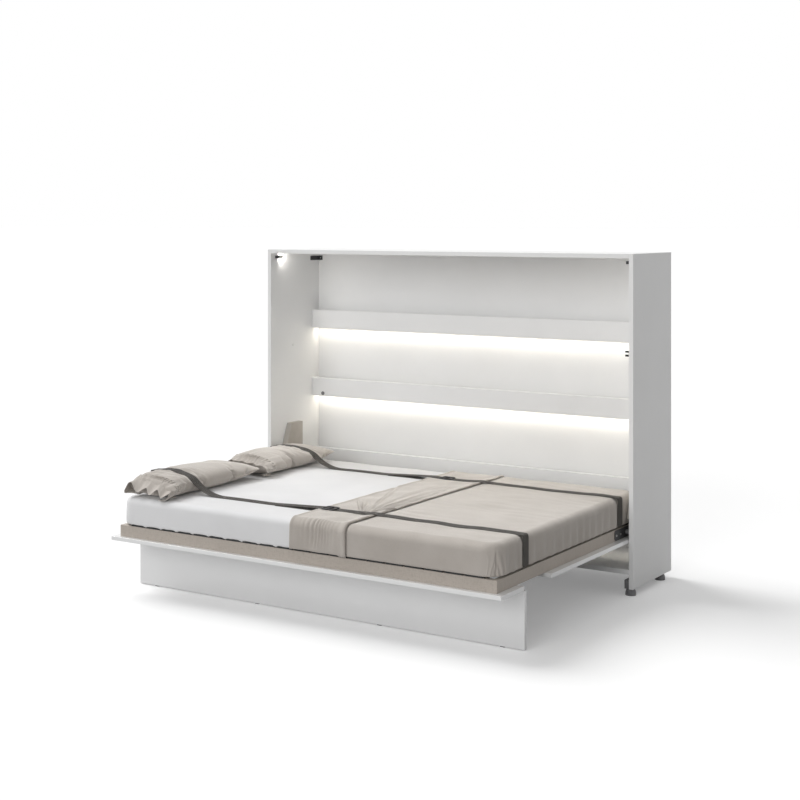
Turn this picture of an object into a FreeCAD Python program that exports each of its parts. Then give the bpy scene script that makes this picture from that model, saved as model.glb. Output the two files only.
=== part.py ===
"""A horizontal cabinet bed: a white cabinet with book ledges and strip lights, and the bed it holds.

The bed is shown open. X runs along the cabinet, Y from the room towards the wall, Z up from the floor.
Places along Y are reckoned from the cabinet's front; place() moves them so that the origin is in the
middle of the whole. The bed's white underside is the cabinet's front when it is shut: a strip, a leg
panel that hinges down to the floor, and the main panel that swings into the cabinet.
"""

import FreeCAD, Part
import math
import os
import Sketcher
from FreeCAD import Vector

DRIVING = [
    # cabinet boards
    ("cab_width", 2116, "outer width of the cabinet"),
    ("cab_height", 1580, "height of the cabinet over its feet"),
    ("cab_depth", 460, "depth of the side boards"),
    ("board_thick", 22, "sides, top and bottom boards"),
    ("edge_round", 1, "eased edges of every board"),
    ("back_thick", 18, "back panel"),
    ("back_inset", 2, "back panel behind the rear edges"),
    ("bottom_height", 100, "underside of the bottom board over the floor"),
    ("foot_height", 32, "feet under the side boards"),
    ("foot_radius", 25, "foot pad"),
    ("foot_front", 32, "front foot behind the front edge"),
    ("foot_rear", 80, "rear foot ahead of the rear edge"),
    ("foot_inward", 4, "foot's middle inside the side board's inner face"),
    ("foot_neck", 19, "radius of the foot where it meets the side board"),
    ("foot_pad", 14, "thickness of the foot's pad"),
    ("corner_block", 40, "height of the block that carries a foot"),
    # book ledges and their lights
    ("lip_setback", 378, "front face of the lips behind the cabinet's front"),
    ("lip_thick", 18, "lip board"),
    ("lip_height", 100, "lip board"),
    ("lip_top_upper", 1237, "top edge of the upper lip"),
    ("lip_top_middle", 860, "top edge of the middle lip"),
    ("lip_top_lower", 475, "top edge of the lower lip"),
    ("shelf_thick", 16, "ledge board behind a lip"),
    ("shelf_rise", 4, "ledge underside over the lip's lower edge"),
    ("led_width", 16, "light channel"),
    ("led_height", 8, "light channel"),
    ("led_wall", 1.2, "wall of the light channel"),
    ("led_end_gap", 20, "channel end to side board"),
    ("lamp_reach", 30, "corner lamp, from the side board inwards"),
    ("lamp_depth", 30, "corner lamp along the side board"),
    ("lamp_height", 14, "corner lamp"),
    ("lamp_setback", 37, "corner lamp behind the front"),
    ("lamp_drop", 13, "corner lamp under the top board"),
    ("lens_radius", 5, "corner lamp lens"),
    ("lens_proud", 1.5, "corner lamp lens"),
    ("switch_inset", 73, "light switch from the left side board"),
    ("switch_drop", 85, "light switch under the lip's top edge"),
    ("switch_radius", 7.5, "light switch button"),
    ("switch_rim", 2.2, "width of the ring round the button"),
    ("switch_proud", 3, "ring in front of the lip"),
    ("switch_travel", 1.5, "push of the button"),
    # wall fixing and small fittings
    ("bracket_length", 80, "wall bracket along the side board"),
    ("bracket_height", 24, "wall bracket"),
    ("bracket_thick", 2.5, "wall bracket steel"),
    ("bracket_return", 26, "wall bracket along the back panel"),
    ("bracket_drop", 20, "wall bracket under the top board"),
    ("wall_hole", 3.5, "radius of the wall screw's hole"),
    ("buffer_radius", 4.5, "rubber door buffer"),
    ("buffer_length", 26, "rubber door buffer"),
    ("buffer_height", 1108, "lower door buffer"),
    ("buffer_pitch", 18, "between the two door buffers"),
    ("cap_radius", 7.5, "screw cover cap"),
    ("cap_thick", 2, "screw cover cap"),
    ("cap_height", 1054, "screw cover cap"),
    ("cap_setback", 200, "screw cover cap"),
    ("screw_head", 5.5, "half width over corners of the mechanism bolts' heads"),
    ("screw_proud", 2.4, "height of the mechanism bolts' heads"),
    ("plate_bolt_edge", 18, "mechanism plate's bolts from its edges"),
    ("plate_bolt_rise", 48, "mechanism plate's front bolt over the pivot"),
    ("plate_bolt_back", 4, "mechanism plate's front bolt behind the pivot"),
    ("arm_bolt_edge", 14, "hinge arm's first bolt from its front end"),
    # folding front and leg
    ("pivot_y", 44, "bed pivot behind the cabinet's front"),
    ("pivot_z", 288, "bed pivot over the floor"),
    ("door_thick", 18, "front panels"),
    ("door_side_gap", 3, "front panels to side boards"),
    ("door_top_gap", 3, "closed front under the top board"),
    ("door_bottom_gap", 8, "closed front over the bottom board"),
    ("strip_depth", 195, "front strip, from its free edge to the leg's seam"),
    ("leg_thick", 17, "leg panel"),
    ("seam", 2.4, "half of the seam in which the leg's hinge lies"),
    ("leg_rear_gap", 3, "folded leg to the main panel"),
    ("leaf_thick", 1, "piano hinge leaf"),
    ("leaf_width", 12, "piano hinge leaf"),
    ("knuckle_radius", 2.2, "piano hinge knuckle"),
    ("hinge_pin", 1.1, "radius of the piano hinge's pin"),
    ("hinge_end_gap", 10, "piano hinge short of the panels' ends"),
    ("running", 0.05, "radial clearance of a running fit"),
    ("free_gap", 0.3, "clearance between parts that move past each other"),
    ("knuckle_count", 5, "knuckles along the piano hinge"),
    ("glide_radius", 12, "glides under the leg"),
    ("glide_height", 3, "glides under the leg"),
    ("glide_outer", 0.9, "outer glides' place as a share of the leg's half width"),
    ("glide_inner", 0.32, "inner glides' place as a share of the leg's half width"),
    # bed frame and slats
    ("frame_side_gap", 36, "bed frame to a side board"),
    ("frame_front_inset", 26, "frame behind the strip's free edge"),
    ("frame_rear_inset", 4, "frame ahead of the main panel's rear edge"),
    ("rail_height", 52, "frame rail"),
    ("rail_thick", 25, "frame rail"),
    ("angle_leg", 60, "corner angle in the frame"),
    ("angle_thick", 2.5, "corner angle in the frame"),
    ("angle_height", 24, "corner angle in the frame"),
    ("slat_count", 20, "sprung slats across the bed"),
    ("slat_end_gap", 82, "middle of the end slats from the side rails"),
    ("slat_width", 63, "sprung slats"),
    ("slat_thick", 8, "sprung slats"),
    ("holder_width", 80, "slat holder"),
    ("holder_reach", 38, "slat holder inside the rail"),
    ("holder_cover", 5, "slat holder over the slat"),
    ("holder_floor", 4, "slat holder under the slat"),
    ("holder_setback", 2, "slat holder behind the rail's outer face"),
    # lift mechanism
    ("plate_thick", 3, "mechanism plate on the side board"),
    ("plate_corner", 24, "mechanism plate round the pivot"),
    ("plate_rise", 344, "mechanism plate over the pivot"),
    ("plate_rear", 205, "mechanism plate behind the pivot"),
    ("plate_front_top", 100, "front of the plate's top behind the pivot"),
    ("cover_rise", 60, "cover's lower edge over the pivot"),
    ("cover_depth", 25, "cover, from the plate inwards"),
    ("cover_wall", 2, "cover"),
    ("cover_draft", 7, "how far the cover's front leans back"),
    ("pin_radius", 8, "bed pivot pin"),
    ("bush_radius", 12, "bush round the bed pivot pin"),
    ("arm_thick", 4, "hinge arm on the side rail"),
    ("arm_height", 46, "hinge arm on the side rail"),
    ("arm_front", 124, "hinge arm ahead of the pivot"),
    ("arm_rear", 98, "hinge arm behind the pivot"),
    ("stud_back", 80, "gas spring stud behind the pivot"),
    ("stud_radius", 5, "gas spring stud"),
    ("anchor_back", 156, "gas spring anchor behind the pivot"),
    ("anchor_rise", 302, "gas spring anchor over the pivot"),
    ("anchor_pin", 4, "radius of the gas spring anchor"),
    ("anchor_collar", 7, "radius of the anchor's collar and head"),
    ("anchor_head", 2, "thickness of the anchor's head"),
    ("strut_gap", 9, "hinge arm to the gas spring's eyes"),
    ("eye_radius", 9, "gas spring eyes"),
    ("eye_thick", 12, "gas spring eyes"),
    ("cylinder_radius", 8.5, "gas spring cylinder"),
    ("cylinder_wall", 1.5, "gas spring cylinder"),
    ("cylinder_start", 12, "cylinder from the anchor"),
    ("cylinder_end", 200, "cylinder from the anchor"),
    ("rod_radius", 4, "gas spring rod"),
    ("piston_start", 24, "piston from the anchor"),
    ("piston_length", 12, "piston"),
    # soft goods
    ("mattress_end_gap", 2, "mattress short of the frame at each end"),
    ("mattress_over", 2.5, "mattress beyond the frame's front and rear rails"),
    ("mattress_thick", 128, "mattress"),
    ("mattress_shift", -1, "mattress off the middle, along X"),
    ("mattress_corner", 70, "mattress corners in plan"),
    ("mattress_edge", 30, "mattress edges"),
    ("mattress_lift", 6, "mattress over the rails"),
    ("round_steps", 5, "flat steps in each rounded edge of the bedding"),
    ("duvet_thick", 8, "tucked duvet"),
    ("duvet_length", 712, "duvet on the mattress's top, from its band to the mattress's end"),
    ("band_width", 297, "turned-down band"),
    ("band_thick", 10, "turned-down band"),
    ("duvet_rear_gap", 8, "duvet short of the mattress's rear edge"),
    ("fold_height", 11, "crests of the band's folds"),
    ("fold_width", 62, "crests of the band's folds"),
    ("fold_count", 4, "crests on the band"),
    ("fold_root", 0.5, "how deep the crests stand in the band"),
    ("fold_points", 7, "points across a crest"),
    ("fold_inset", 30, "first crest's rear end left of the band's right edge"),
    ("fold_lean", 0.45, "rear ends' pitch as a share of the front ends' pitch"),
    ("fold_step", 60, "how much further forward each next crest begins"),
    ("fold_front_inset", 40, "first crest's front end right of the band's left edge"),
    ("fold_stagger", 40, "every second crest ends this much earlier"),
    ("fold_rear_gap", 50, "crests ahead of the rear strap"),
    ("fold_front_gap", 10, "crests behind the front strap"),
    ("pillow_share", 0.533, "front pillow's share of both pillows' length"),
    ("pillow_width", 305, "pillow"),
    ("pillow_height", 104, "pillow crown"),
    ("pillow_seam", 46, "pillow's side seam over the mattress"),
    ("pillow_foot", 45, "how far the pillow's sides draw in below"),
    ("pillow_waist", 10, "how far the pillow's ends draw in"),
    ("flange_height", 12, "flat flange at the pillow's ends"),
    ("flange_share", 0.05, "length of a flange as a share of the pillow's"),
    ("pillow_plump", 0.6, "how quickly the pillow fills: lower is plumper"),
    ("pillow_steps", 10, "sections along the pillow"),
    ("pillow_side_points", 4, "points on each side of a section"),
    ("pillow_crown_points", 11, "points over the crown of a section"),
    ("pillow_play", 2, "strap over the pillow"),
    ("pillow_bulge", 0.3, "widest place of the pillow's lower side as a share of the seam's height"),
    ("pillow_left", 4, "pillow from the mattress's left end"),
    ("pillow_front", 8, "front pillow behind the mattress's front"),
    ("pillow_gap", 4, "between the pillows"),
    ("pillow_rear", 9, "rear pillow ahead of the mattress's rear"),
    ("strap_width", 50, "holding straps"),
    ("strap_thick", 2, "holding straps"),
    ("strap_front", 234.5, "front strap behind the mattress's front"),
    ("strap_rear", 230.5, "rear strap ahead of the mattress's rear"),
    ("strap_bend", 34, "radius of a strap over an edge"),
    ("strap_hug", 0.9, "how far a strap follows the pillow's crown, as a share of its half width"),
    ("strap_start", 4, "straps' ends over the mattress's underside"),
    ("buckle_length", 62, "strap buckle"),
    ("buckle_height", 5, "strap buckle"),
    ("buckle_rim", 4, "strap buckle's bars"),
    ("buckle_front", 17, "front strap's buckle right of the band's edge"),
    ("buckle_rear", 62, "rear strap's buckle right of the band's edge"),
]

doc = FreeCAD.newDocument("CabinetBed")
sizes = doc.addObject("Spreadsheet::Sheet", "Sizes")
for row, (alias, number, meaning) in enumerate(DRIVING, start=1):
    sizes.set(f"A{row}", meaning)
    sizes.set(f"B{row}", str(number))
    sizes.setAlias(f"B{row}", alias)
doc.recompute()
nodes = []


# ---------------------------------------- names for places, worked out from the sizes
def named(text):
    """Write a formula of size names as an expression that reads them from the sheet."""
    words = []
    for word in text.replace("(", " ( ").replace(")", " ) ").split():
        words.append(f"Sizes.{word}" if word[0].isalpha() else word)
    return "(" + " ".join(words) + ")"


def number(expression):
    """The value of an expression."""
    return float(sizes.evalExpression(expression))


def size(name):
    """The value of one size in the sheet."""
    return float(sizes.get(name))


inner = named("cab_width / 2 - board_thick")
top_under = named("cab_height - board_thick")
back_front = named("cab_depth - back_inset - back_thick")
floor_top = named("bottom_height + board_thick")
closing = named("pivot_y + pivot_z")
door_out = named("pivot_z - pivot_y")
door_in = named("pivot_z - pivot_y + door_thick")
door_half = f"({inner} - Sizes.door_side_gap)"
door_front = f"({closing} - {top_under} + Sizes.door_top_gap)"
door_rear = f"({closing} - {floor_top} - Sizes.door_bottom_gap)"
leg_axis = f"({door_front} + Sizes.strip_depth + Sizes.seam)"
leg_reach = f"({door_out} - Sizes.glide_height)"
main_front = f"({leg_axis} + {leg_reach} + Sizes.leg_rear_gap)"
frame_front = f"({door_front} + Sizes.frame_front_inset)"
frame_rear = f"({door_rear} - Sizes.frame_rear_inset)"
frame_middle = f"(({frame_front} + {frame_rear}) / 2)"
rail_top = f"({door_in} + Sizes.rail_height)"
bed_top = f"({rail_top} + Sizes.mattress_lift)"
slat_under = f"({bed_top} - Sizes.free_gap - Sizes.holder_cover - Sizes.slat_thick)"
frame_half = f"({inner} - Sizes.frame_side_gap)"
arm_face = f"({frame_half} + Sizes.arm_thick)"
plate_face = f"({inner} - Sizes.plate_thick)"
strut_near = f"({arm_face} + Sizes.strut_gap)"
middle_shift = f"((0 - {door_front} - Sizes.cab_depth) / 2)"


# ---------------------------------------- ways of making a piece
def finish(piece, label):
    """Name a finished sub-part, which is then exported under that name."""
    piece.Label = label
    nodes.append(piece)
    return piece


def place(piece, low):
    """Bind an object's place to expressions, moved along Y so that the origin is in the middle."""
    for axis, text in zip("xyz", low):
        moved = f"({text} + {middle_shift})" if axis == "y" else text
        piece.setExpression(f"Placement.Base.{axis}", moved)
    return piece


def block(name, low, extent):
    """A plain box from its lowest corner and its three sizes."""
    piece = doc.addObject("Part::Box", name)
    for side, text in zip(("Length", "Width", "Height"), extent):
        piece.setExpression(side, text)
    return place(piece, low)


def rod(name, start, radius, length, towards):
    """A cylinder from the centre of one end, along an axis."""
    piece = doc.addObject("Part::Cylinder", name)
    piece.setExpression("Radius", radius)
    piece.setExpression("Height", length)
    piece.Placement.Rotation = FreeCAD.Rotation(Vector(0, 0, 1), Vector(*towards))
    return place(piece, start)


def bolt_head(name, start, towards):
    """A hexagonal bolt head that stands on a face."""
    piece = doc.addObject("Part::Prism", name)
    piece.Polygon = 6
    piece.setExpression("Circumradius", "Sizes.screw_head")
    piece.setExpression("Height", "Sizes.screw_proud")
    piece.Placement.Rotation = FreeCAD.Rotation(Vector(0, 0, 1), Vector(*towards))
    return place(piece, start)


def cut(name, body, tools):
    """Take the tools away from a body."""
    for count, tool in enumerate(tools):
        step = doc.addObject("Part::Cut", f"{name}_cut{count}")
        step.Base = body
        step.Tool = tool
        body = step
    return body


def fuse(name, pieces):
    """Join touching shapes into one solid."""
    whole = doc.addObject("Part::MultiFuse", f"{name}_whole")
    whole.Shapes = pieces
    whole.Refine = True
    return whole


def group(label, pieces):
    """Several like solids under one name."""
    whole = doc.addObject("Part::Compound", f"{label}_set")
    whole.Links = pieces
    return finish(whole, label)


def board(label, low, extent):
    """A board with every edge eased."""
    solid = block(f"{label}_blank", low, extent)
    eased = doc.addObject("Part::Chamfer", f"{label}_eased")
    eased.Base = solid
    ease = size("edge_round")
    eased.Edges = [(edge, ease, ease) for edge in range(1, 13)]
    return finish(eased, label)


def outline(name, corners, thickness, low, rounds=()):
    """A plate across X: a closed outline with each corner bound to the sheet, padded along X.

    rounds lists (corners, radius) for the corners that are rounded after the pad.
    """
    body = doc.addObject("PartDesign::Body", name)
    support = [face for face in body.Origin.OriginFeatures if face.Role == "YZ_Plane"][0]
    sketch = body.newObject("Sketcher::SketchObject", f"{name}_outline")
    sketch.AttachmentSupport = [(support, "")]
    sketch.MapMode = "FlatFace"
    spots = [Vector(number(u), number(v), 0) for u, v in corners]
    total = len(spots)
    for count, spot in enumerate(spots):
        sketch.addGeometry(Part.LineSegment(spot, spots[(count + 1) % total]), False)
    for count in range(total):
        sketch.addConstraint(Sketcher.Constraint("Coincident", count, 2, (count + 1) % total, 1))
    for count, (u, v) in enumerate(corners):
        for kind, text, value in (("DistanceX", u, spots[count].x), ("DistanceY", v, spots[count].y)):
            which = sketch.addConstraint(Sketcher.Constraint(kind, -1, 1, count, 1, value))
            sketch.setExpression(f"Constraints[{which}]", text)
    last = body.newObject("PartDesign::Pad", f"{name}_pad")
    last.Profile = sketch
    last.setExpression("Length", thickness)
    place(body, low)
    doc.recompute()
    for chosen, radius in rounds:
        wanted = [spots[corner] for corner in chosen]
        found = []
        for count, edge in enumerate(last.Shape.Edges, 1):
            ends = [Vector(vertex.Y, vertex.Z, 0) for vertex in edge.Vertexes]
            if any(all(end.distanceToPoint(spot) < 0.001 for end in ends) for spot in wanted):
                found.append(f"Edge{count}")
        rounding = body.newObject("PartDesign::Fillet", f"{name}_round{chosen[0]}")
        rounding.Base = (last, found)
        rounding.setExpression("Radius", radius)
        doc.recompute()
        last = rounding
    return body


def chords(first, between, last, count):
    """Points on the arc through three points, evenly spread along it."""
    return Part.Arc(first, between, last).toShape().discretize(count)


def closed(points):
    """A closed outline through points."""
    return Part.makePolygon(points + points[:1])


def rounded_block(low, high, corner, edge):
    """A soft block, its corners rounded in plan and then its upper edges, both in flat steps."""
    steps = int(size("round_steps"))
    turns = [math.pi / 2 * step / steps for step in range(steps + 1)]
    levels = [(low[2], 0)]
    levels += [(high[2] - edge * (1 - math.sin(turn)), edge * (1 - math.cos(turn))) for turn in turns]
    middles = ((high[0] - corner, high[1] - corner), (low[0] + corner, high[1] - corner),
               (low[0] + corner, low[1] + corner), (high[0] - corner, low[1] + corner))
    wires = []
    for z, inset in levels:
        points = []
        for quarter, (x, y) in enumerate(middles):
            for turn in turns:
                way = turn + quarter * math.pi / 2
                reach = corner - inset
                points.append(Vector(x + reach * math.cos(way), y + reach * math.sin(way), z))
        wires.append(closed(points))
    return Part.makeLoft(wires, True, True)


def soft(label, shape):
    """A soft piece whose solid is worked out from the sheet's sizes."""
    piece = doc.addObject("Part::Feature", f"{label}_form")
    piece.Shape = shape
    piece.Placement.Base = Vector(0, number(middle_shift), 0)
    return finish(piece, label)


# ---------------------------------------- cabinet boards
SIDES = (("left", -1), ("right", 1))
side_height = named("cab_height - foot_height")
for side, sign in SIDES:
    start = named("0 - cab_width / 2") if sign < 0 else inner
    board(f"side_{side}", (start, "0", "Sizes.foot_height"),
          ("Sizes.board_thick", "Sizes.cab_depth", side_height))

inner_width = f"(2 * {inner})"
left_wall = f"(0 - {inner})"
board("top_board", (left_wall, "0", top_under), (inner_width, "Sizes.cab_depth", "Sizes.board_thick"))
board("bottom_board", (left_wall, "0", "Sizes.bottom_height"),
      (inner_width, back_front, "Sizes.board_thick"))

# The back panel stands between the sides, behind the bottom board, with a hole for each wall screw.
back_height = f"({top_under} - Sizes.bottom_height)"
back_blank = block("back_blank", (left_wall, back_front, "Sizes.bottom_height"),
                   (inner_width, "Sizes.back_thick", back_height))
bracket_middle = f"({top_under} - Sizes.bracket_drop - Sizes.bracket_height / 2)"
hole_side = f"({inner} - Sizes.bracket_return / 2)"
wall_holes = [rod(f"wall_hole_{side}", (f"({sign} * {hole_side})", f"({back_front} - 1)", bracket_middle),
                  "Sizes.wall_hole", "Sizes.back_thick + 2", (0, 1, 0)) for side, sign in SIDES]
finish(cut("back_panel", back_blank, wall_holes), "back_panel")

# ---------------------------------------- book ledges
LEDGES = (("upper", "lip_top_upper"), ("middle", "lip_top_middle"), ("lower", "lip_top_lower"))
shelf_front = named("lip_setback + lip_thick")
shelf_depth = f"({back_front} - {shelf_front})"
for level, top in LEDGES:
    lip_under = named(f"{top} - lip_height")
    board(f"lip_{level}", (left_wall, "Sizes.lip_setback", lip_under),
          (inner_width, "Sizes.lip_thick", "Sizes.lip_height"))
    board(f"shelf_{level}", (left_wall, shelf_front, f"({lip_under} + Sizes.shelf_rise)"),
          (inner_width, shelf_depth, "Sizes.shelf_thick"))

# ---------------------------------------- strip lights under the two upper ledges
led_length = f"({inner_width} - 2 * Sizes.led_end_gap)"
led_left = f"({left_wall} + Sizes.led_end_gap)"
led_front = f"({shelf_front} + {shelf_depth} / 2 - Sizes.led_width / 2)"
channels = []
diffusers = []
for level, top in LEDGES[:2]:
    ledge_under = f"(Sizes.{top} - Sizes.lip_height + Sizes.shelf_rise)"
    led_under = f"({ledge_under} - Sizes.led_height)"
    profile = block(f"channel_{level}_blank", (led_left, led_front, led_under),
                    (led_length, "Sizes.led_width", "Sizes.led_height"))
    trough = block(f"channel_{level}_trough", (f"({led_left} - 1)", f"({led_front} + Sizes.led_wall)",
                                               f"({led_under} - 1)"),
                   (f"({led_length} + 2)", "Sizes.led_width - 2 * Sizes.led_wall",
                    "Sizes.led_height - Sizes.led_wall + 1"))
    channels.append(cut(f"channel_{level}", profile, [trough]))
    diffusers.append(block(f"diffuser_{level}", (led_left, f"({led_front} + Sizes.led_wall)", led_under),
                           (led_length, "Sizes.led_width - 2 * Sizes.led_wall",
                            "Sizes.led_height - Sizes.led_wall")))
group("light_channels", channels)
group("light_diffusers", diffusers)

# ---------------------------------------- light switch on the middle lip
switch_centre = named("lip_top_middle - switch_drop")
switch_x = f"({left_wall} + Sizes.switch_inset)"
ring = rod("switch_ring_blank", (switch_x, "Sizes.lip_setback - Sizes.switch_proud", switch_centre),
           "Sizes.switch_radius + Sizes.free_gap + Sizes.switch_rim", "Sizes.switch_proud", (0, 1, 0))
ring_hole = rod("switch_ring_hole", (switch_x, "Sizes.lip_setback - Sizes.switch_proud - 1", switch_centre),
                "Sizes.switch_radius + Sizes.free_gap", "Sizes.switch_proud + 2", (0, 1, 0))
finish(cut("switch_ring", ring, [ring_hole]), "switch_ring")
button = rod("button_blank", (switch_x, "Sizes.lip_setback - Sizes.switch_proud - Sizes.switch_travel",
                              switch_centre),
             "Sizes.switch_radius", "Sizes.switch_proud - Sizes.free_gap", (0, 1, 0))
finish(button, "switch_button")

# ---------------------------------------- corner lamps, buffers, caps, wall brackets
housings = []
lenses = []
brackets = []
caps = []
lamp_under = f"({top_under} - Sizes.lamp_drop - Sizes.lamp_height)"
bracket_under = f"({top_under} - Sizes.bracket_drop - Sizes.bracket_height)"
for side, sign in SIDES:
    lamp_low = f"({inner} - Sizes.lamp_reach)" if sign > 0 else left_wall
    housings.append(block(f"lamp_{side}", (lamp_low, "Sizes.lamp_setback", lamp_under),
                          ("Sizes.lamp_reach", "Sizes.lamp_depth", "Sizes.lamp_height")))
    lamp_middle = f"({sign} * ({inner} - Sizes.lamp_reach / 2))"
    lenses.append(rod(f"lens_{side}", (lamp_middle, named("lamp_setback + lamp_depth"),
                                       f"({lamp_under} + Sizes.lamp_height / 2)"),
                      "Sizes.lens_radius", "Sizes.lens_proud", (0, 1, 0)))
    leaf_low = f"({inner} - Sizes.bracket_thick)" if sign > 0 else left_wall
    leaf = block(f"bracket_leaf_{side}", (leaf_low, f"({back_front} - Sizes.bracket_length)", bracket_under),
                 ("Sizes.bracket_thick", "Sizes.bracket_length", "Sizes.bracket_height"))
    back_low = f"({inner} - Sizes.bracket_return)" if sign > 0 else left_wall
    leaf_face = f"({back_front} - Sizes.bracket_thick)"
    back_leaf = block(f"bracket_back_{side}", (back_low, leaf_face, bracket_under),
                      ("Sizes.bracket_return", "Sizes.bracket_thick", "Sizes.bracket_height"))
    bore = rod(f"bracket_hole_{side}", (f"({sign} * {hole_side})", f"({leaf_face} - 1)", bracket_middle),
               "Sizes.wall_hole", "Sizes.bracket_thick + 2", (0, 1, 0))
    brackets.append(cut(f"bracket_{side}", fuse(f"bracket_{side}", [leaf, back_leaf]), [bore]))
    caps.append(rod(f"cap_{side}", (f"({sign} * {inner})", "Sizes.cap_setback", "Sizes.cap_height"),
                    "Sizes.cap_radius", "Sizes.cap_thick", (-sign, 0, 0)))
group("corner_lamps", housings)
group("lamp_lenses", lenses)
group("wall_brackets", brackets)
group("cover_caps", caps)

buffer_y = named("door_thick + free_gap + buffer_radius")
buffers = []
for count in range(2):
    buffer_z = f"(Sizes.buffer_height + {count} * Sizes.buffer_pitch)"
    buffers.append(rod(f"buffer_{count}", (inner, buffer_y, buffer_z), "Sizes.buffer_radius",
                       "Sizes.buffer_length", (-1, 0, 0)))
group("door_buffers", buffers)

# ---------------------------------------- feet and the blocks that carry them
feet = []
foot_blocks = []
foot_middle = f"({inner} - Sizes.foot_inward)"
for side, sign in SIDES:
    for end, along in (("front", "Sizes.foot_front"), ("rear", named("cab_depth - foot_rear"))):
        name = f"foot_{side}_{end}"
        centre = f"({sign} * {foot_middle})"
        pad = rod(f"{name}_pad", (centre, along, "0"), "Sizes.foot_radius", "Sizes.foot_pad", (0, 0, 1))
        cone = doc.addObject("Part::Cone", f"{name}_cone")
        cone.setExpression("Radius1", "Sizes.foot_radius")
        cone.setExpression("Radius2", "Sizes.foot_neck")
        cone.setExpression("Height", "Sizes.foot_height - Sizes.foot_pad")
        place(cone, (centre, along, "Sizes.foot_pad"))
        feet.append(fuse(name, [pad, cone]))
        block_low = f"({inner} - Sizes.foot_radius)" if sign > 0 else left_wall
        foot_blocks.append(block(f"{name}_block",
                                 (block_low, f"({along} - Sizes.foot_radius)", "Sizes.foot_height"),
                                 ("Sizes.foot_radius", "2 * Sizes.foot_radius", "Sizes.corner_block")))
group("feet", feet)
group("foot_blocks", foot_blocks)

# ---------------------------------------- folding front: strip, main panel and leg
door_width = f"(2 * {door_half})"
door_left = f"(0 - {door_half})"
board("front_strip", (door_left, door_front, door_out),
      (door_width, "Sizes.strip_depth", "Sizes.door_thick"))
board("main_panel", (door_left, main_front, door_out),
      (door_width, f"({door_rear} - {main_front})", "Sizes.door_thick"))
leg_top = f"({door_out} - Sizes.seam)"
board("leg_panel", (door_left, leg_axis, "Sizes.glide_height"),
      (door_width, "Sizes.leg_thick", f"({leg_top} - Sizes.glide_height)"))
glide_y = f"({leg_axis} + Sizes.leg_thick / 2)"
glides = []
places = ("0 - Sizes.glide_outer", "0 - Sizes.glide_inner", "Sizes.glide_inner", "Sizes.glide_outer")
for count, share in enumerate(places):
    glide_x = f"(({share}) * {door_half})"
    disc = rod(f"glide_{count}_disc", (glide_x, glide_y, "0"), "Sizes.glide_radius",
               "Sizes.glide_height", (0, 0, 1))
    keep = block(f"glide_{count}_keep", (f"({glide_x} - Sizes.glide_radius)", leg_axis, "0"),
                 ("2 * Sizes.glide_radius", "Sizes.leg_thick", "Sizes.glide_height"))
    trimmed = doc.addObject("Part::Common", f"glide_{count}")
    trimmed.Base = disc
    trimmed.Tool = keep
    glides.append(trimmed)
group("leg_glides", glides)

# The piano hinge: each leaf lies on a board's edge in the seam, its knuckles round one pin at the corner.
hinge_length = f"({door_width} - 2 * Sizes.hinge_end_gap)"
hinge_left = f"(0 - {hinge_length} / 2)"
knuckles = int(size("knuckle_count"))
pitch = f"({hinge_length} / {knuckles})"


def leaf_with_knuckles(name, leaf_low, leaf_extent, reach_low, reach_extent, first):
    """One leaf of the piano hinge with every second knuckle."""
    parts = [block(f"{name}_leaf", leaf_low, leaf_extent)]
    for count in range(first, knuckles, 2):
        begin = f"({hinge_left} + {count} * {pitch} + Sizes.free_gap / 2)"
        length = f"({pitch} - Sizes.free_gap)"
        parts.append(rod(f"{name}_knuckle{count}", (begin, leg_axis, door_out), "Sizes.knuckle_radius",
                         length, (1, 0, 0)))
        parts.append(block(f"{name}_neck{count}", (begin, *reach_low), (length, *reach_extent)))
    bore = rod(f"{name}_bore", (f"({hinge_left} - 1)", leg_axis, door_out),
               "Sizes.hinge_pin + Sizes.running", f"({hinge_length} + 2)", (1, 0, 0))
    return finish(cut(name, fuse(name, parts), [bore]), name)


strip_edge = f"({leg_axis} - Sizes.seam)"
leaf_off = named("knuckle_radius + running")
neck_off = named("(knuckle_radius + hinge_pin) / 2")
neck_reach = f"({leaf_off} - {neck_off} + Sizes.free_gap)"
leaf_with_knuckles("hinge_leaf_strip", (hinge_left, strip_edge, f"({door_out} + {leaf_off})"),
                   (hinge_length, "Sizes.leaf_thick", "Sizes.leaf_width"),
                   (strip_edge, f"({door_out} + {neck_off})"), ("Sizes.leaf_thick", neck_reach), 0)
leaf_with_knuckles("hinge_leaf_leg", (hinge_left, f"({leg_axis} + {leaf_off})", leg_top),
                   (hinge_length, "Sizes.leaf_width", "Sizes.leaf_thick"),
                   (f"({leg_axis} + {neck_off})", leg_top), (neck_reach, "Sizes.leaf_thick"), 1)
finish(rod("hinge_pin_wire", (hinge_left, leg_axis, door_out), "Sizes.hinge_pin", hinge_length, (1, 0, 0)),
       "hinge_pin")

# ---------------------------------------- bed frame
rail_left = f"(0 - {frame_half})"
rail_inner = f"({frame_half} - Sizes.rail_thick)"
between = f"(2 * {rail_inner})"
long_rail = (f"(2 * {frame_half})", "Sizes.rail_thick", "Sizes.rail_height")
board("rail_front", (rail_left, frame_front, door_in), long_rail)
board("rail_rear", (rail_left, f"({frame_rear} - Sizes.rail_thick)", door_in), long_rail)
side_front = f"({frame_front} + Sizes.rail_thick)"
side_length = f"({frame_rear} - {frame_front} - 2 * Sizes.rail_thick)"
for side, sign in SIDES:
    board(f"rail_{side}", (rail_left if sign < 0 else rail_inner, side_front, door_in),
          ("Sizes.rail_thick", side_length, "Sizes.rail_height"))
board("centre_rail", (f"(0 - {rail_inner})", f"({frame_middle} - Sizes.rail_thick / 2)", door_in),
      (between, "Sizes.rail_thick", f"({slat_under} - {door_in})"))

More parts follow.
